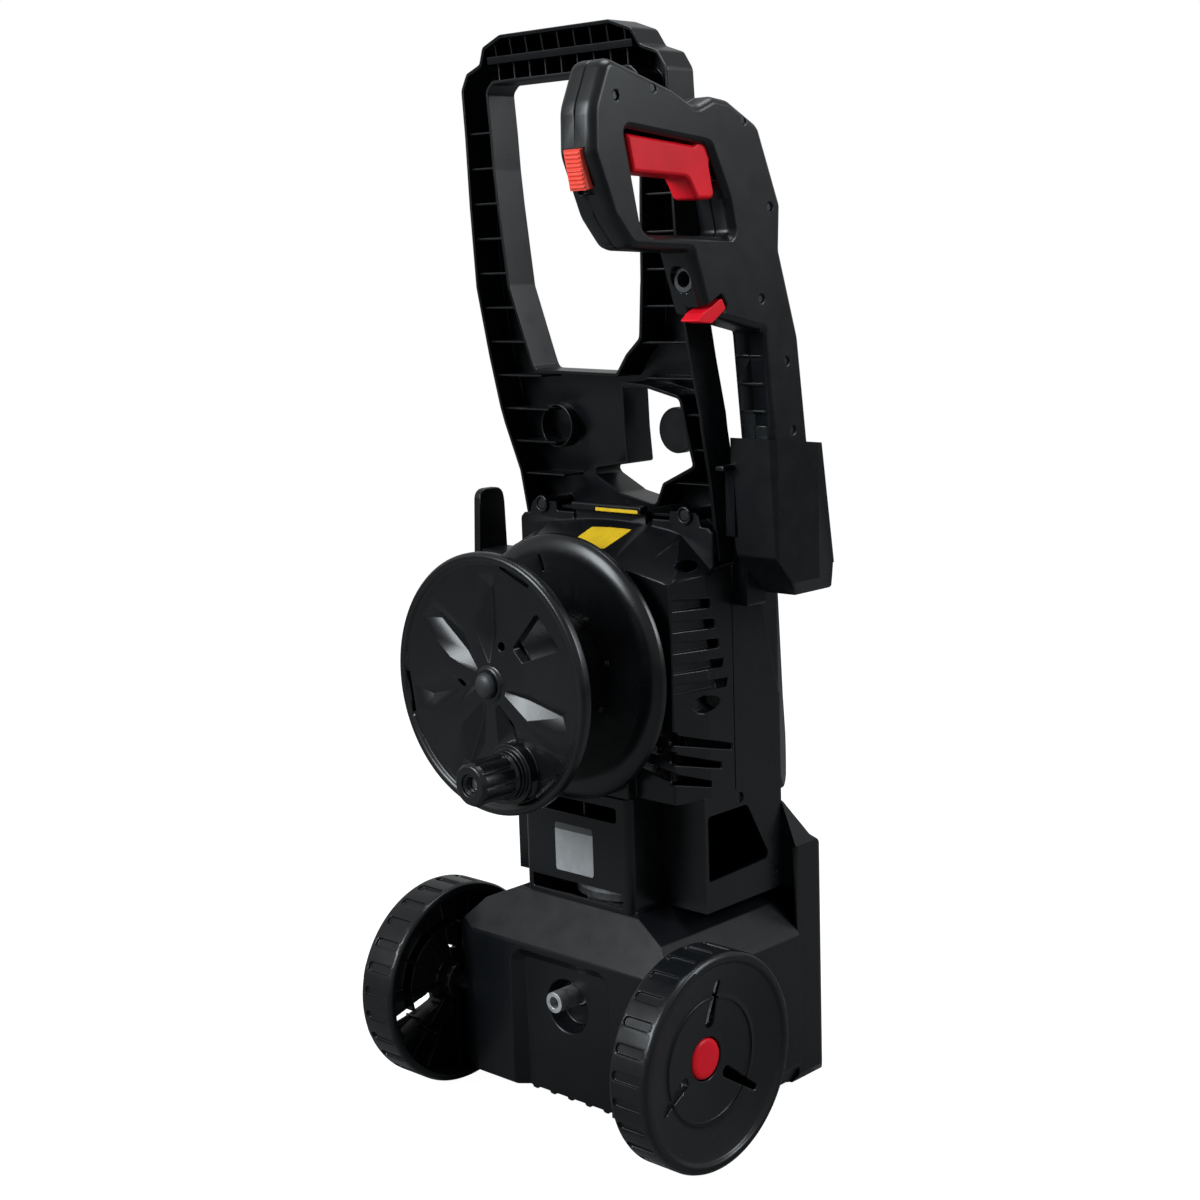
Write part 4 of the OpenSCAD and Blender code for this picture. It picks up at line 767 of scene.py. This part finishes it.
class AddSlotShadeSheet(bpy.types.Operator):
    """Add a dark ribbed sheet behind the column's upper slot, as painted shade seen through the
    slot
    """

    bl_idname = "washer.add_guard"
    bl_label = "Splash guard"

    def execute(self, context):
        left, right, bottom, top = -62, 50, 252, 280
        back = -16
        rib_width, rib_depth, rib_inset = 1.6, 2.5, 2
        corners = [(left, bottom), (right, bottom), (right, top), (left, top)]
        outline = round_corners(corners, radius=3.0, steps=5)
        bm = bmesh.new()
        for x in (-39.0, 6.0):
            plan = [(x, back - rib_depth), (x + rib_width, back - rib_depth),
                    (x + rib_width, back), (x, back)]
            low = [bm.verts.new((a * MM, b * MM, (bottom + rib_inset) * MM)) for a, b in plan]
            high = [bm.verts.new((a * MM, b * MM, (top - rib_inset) * MM)) for a, b in plan]
            bm.faces.new(low)
            bm.faces.new(high)
            for i in range(4):
                bm.faces.new((low[i - 1], low[i], high[i], high[i - 1]))
        bmesh.ops.recalc_face_normals(bm, faces=bm.faces)
        # The sheet has no thickness: its two sides lie on one plane and shade each other, so the
        # slot shows black as painted shade
        for side in (outline, outline[::-1]):
            bm.faces.new([bm.verts.new((x * MM, back * MM, z * MM)) for x, z in side])
        painted_shade_sheet = put_in_scene(mesh_from(bm, "splash_guard"), "splash_guard",
                             finish_for("dark_plastic"))
        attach(painted_shade_sheet, bodies["rear_shell"])
        return {"FINISHED"}


class AddPlates(bpy.types.Operator):
    """Add the bare nameplate and the bare yellow labels"""

    bl_idname = "washer.add_plates"
    bl_label = "Plates"

    def execute(self, context):
        silver = printed_sheet("nameplate_foil", colour_of("plate"), rough=0.4, metal=0.35,
                               head=0.2472)
        yellow = printed_sheet("label_film", colour_of("label"), rough=0.36)
        forwards, downwards = (0, 1, 0), (0, 0, -1)
        label_on("nameplate", "rear_shell",
                 [(-24, -23, 211), (20, -23, 211), (20, -23, 253), (-24, -23, 253)],
                 forwards, silver, radius=2.0)
        label_on("roof_label", "motor_hood",
                 [(-25, 1.5, 480), (19.4, 2.6, 480), (29.5, 26.6, 480), (-14.7, 24.8, 480)],
                 downwards, yellow, radius=1.2)
        label_on("ledge_strip", "motor_hood",
                 [(-13, 20, 514.6), (35, 20, 514.6), (35, 20, 517.6), (-13, 20, 517.6)],
                 forwards, yellow, radius=0.6)
        return {"FINISHED"}


class SetStage(bpy.types.Operator):
    """Set up the floor, the soft studio light and the camera"""

    bl_idname = "washer.set_stage"
    bl_label = "Stage"

    def execute(self, context):
        scene = context.scene
        scene.view_settings.view_transform = "Standard"
        lamps = scene.washer_light
        make_floor()
        make_world(scene)
        soft_lamp("key_lamp", place=(-0.8, -2.1, 1.6), target=(0.0, -0.1, 0.45),
                  wide=0.9, tall=1.2, power=lamps.key)
        soft_lamp("side_lamp", place=(2.0, 1.2, 1.65), target=(0.05, 0.0, 0.45),
                  wide=0.8, tall=1.1, power=lamps.side)
        soft_lamp("top_lamp", place=(0.1, 0.3, 2.6), target=(0.0, 0.0, 0.5),
                  wide=1.1, tall=1.1, power=lamps.top)
        make_camera(scene)
        return {"FINISHED"}


# ---- Panel and registration ----


class WasherPanel(bpy.types.Panel):
    """Steps and settings of the pressure washer"""

    bl_idname = "VIEW3D_PT_washer"
    bl_label = "Pressure Washer"
    bl_space_type = "VIEW_3D"
    bl_region_type = "UI"
    bl_category = "Washer"

    def draw(self, context):
        layout = self.layout
        for step in STEPS:
            layout.operator(step.bl_idname)
        for group in ("washer_colours", "washer_sizes", "washer_light"):
            box = layout.box()
            settings = getattr(context.scene, group)
            for name in settings.__annotations__:
                box.prop(settings, name)


GROUPS = (WasherColours, WasherSizes, WasherLight)
STEPS = (DressHousings, DressHandle, DressWheels, DressReel, DressGun, DressFittings, DressScrews,
         FinishWorks, AddSlotShadeSheet, AddPlates, SetStage)


def register():
    for group in (*GROUPS, *STEPS, WasherPanel):
        bpy.utils.register_class(group)
    bpy.types.Scene.washer_colours = bpy.props.PointerProperty(type=WasherColours)
    bpy.types.Scene.washer_sizes = bpy.props.PointerProperty(type=WasherSizes)
    bpy.types.Scene.washer_light = bpy.props.PointerProperty(type=WasherLight)


def unregister():
    del bpy.types.Scene.washer_light
    del bpy.types.Scene.washer_sizes
    del bpy.types.Scene.washer_colours
    for group in reversed((*GROUPS, *STEPS, WasherPanel)):
        bpy.utils.unregister_class(group)


def main():
    """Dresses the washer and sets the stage"""
    register()
    for step in STEPS:
        group, name = step.bl_idname.split(".")
        getattr(getattr(bpy.ops, group), name)()


if __name__ == "__main__":
    main()
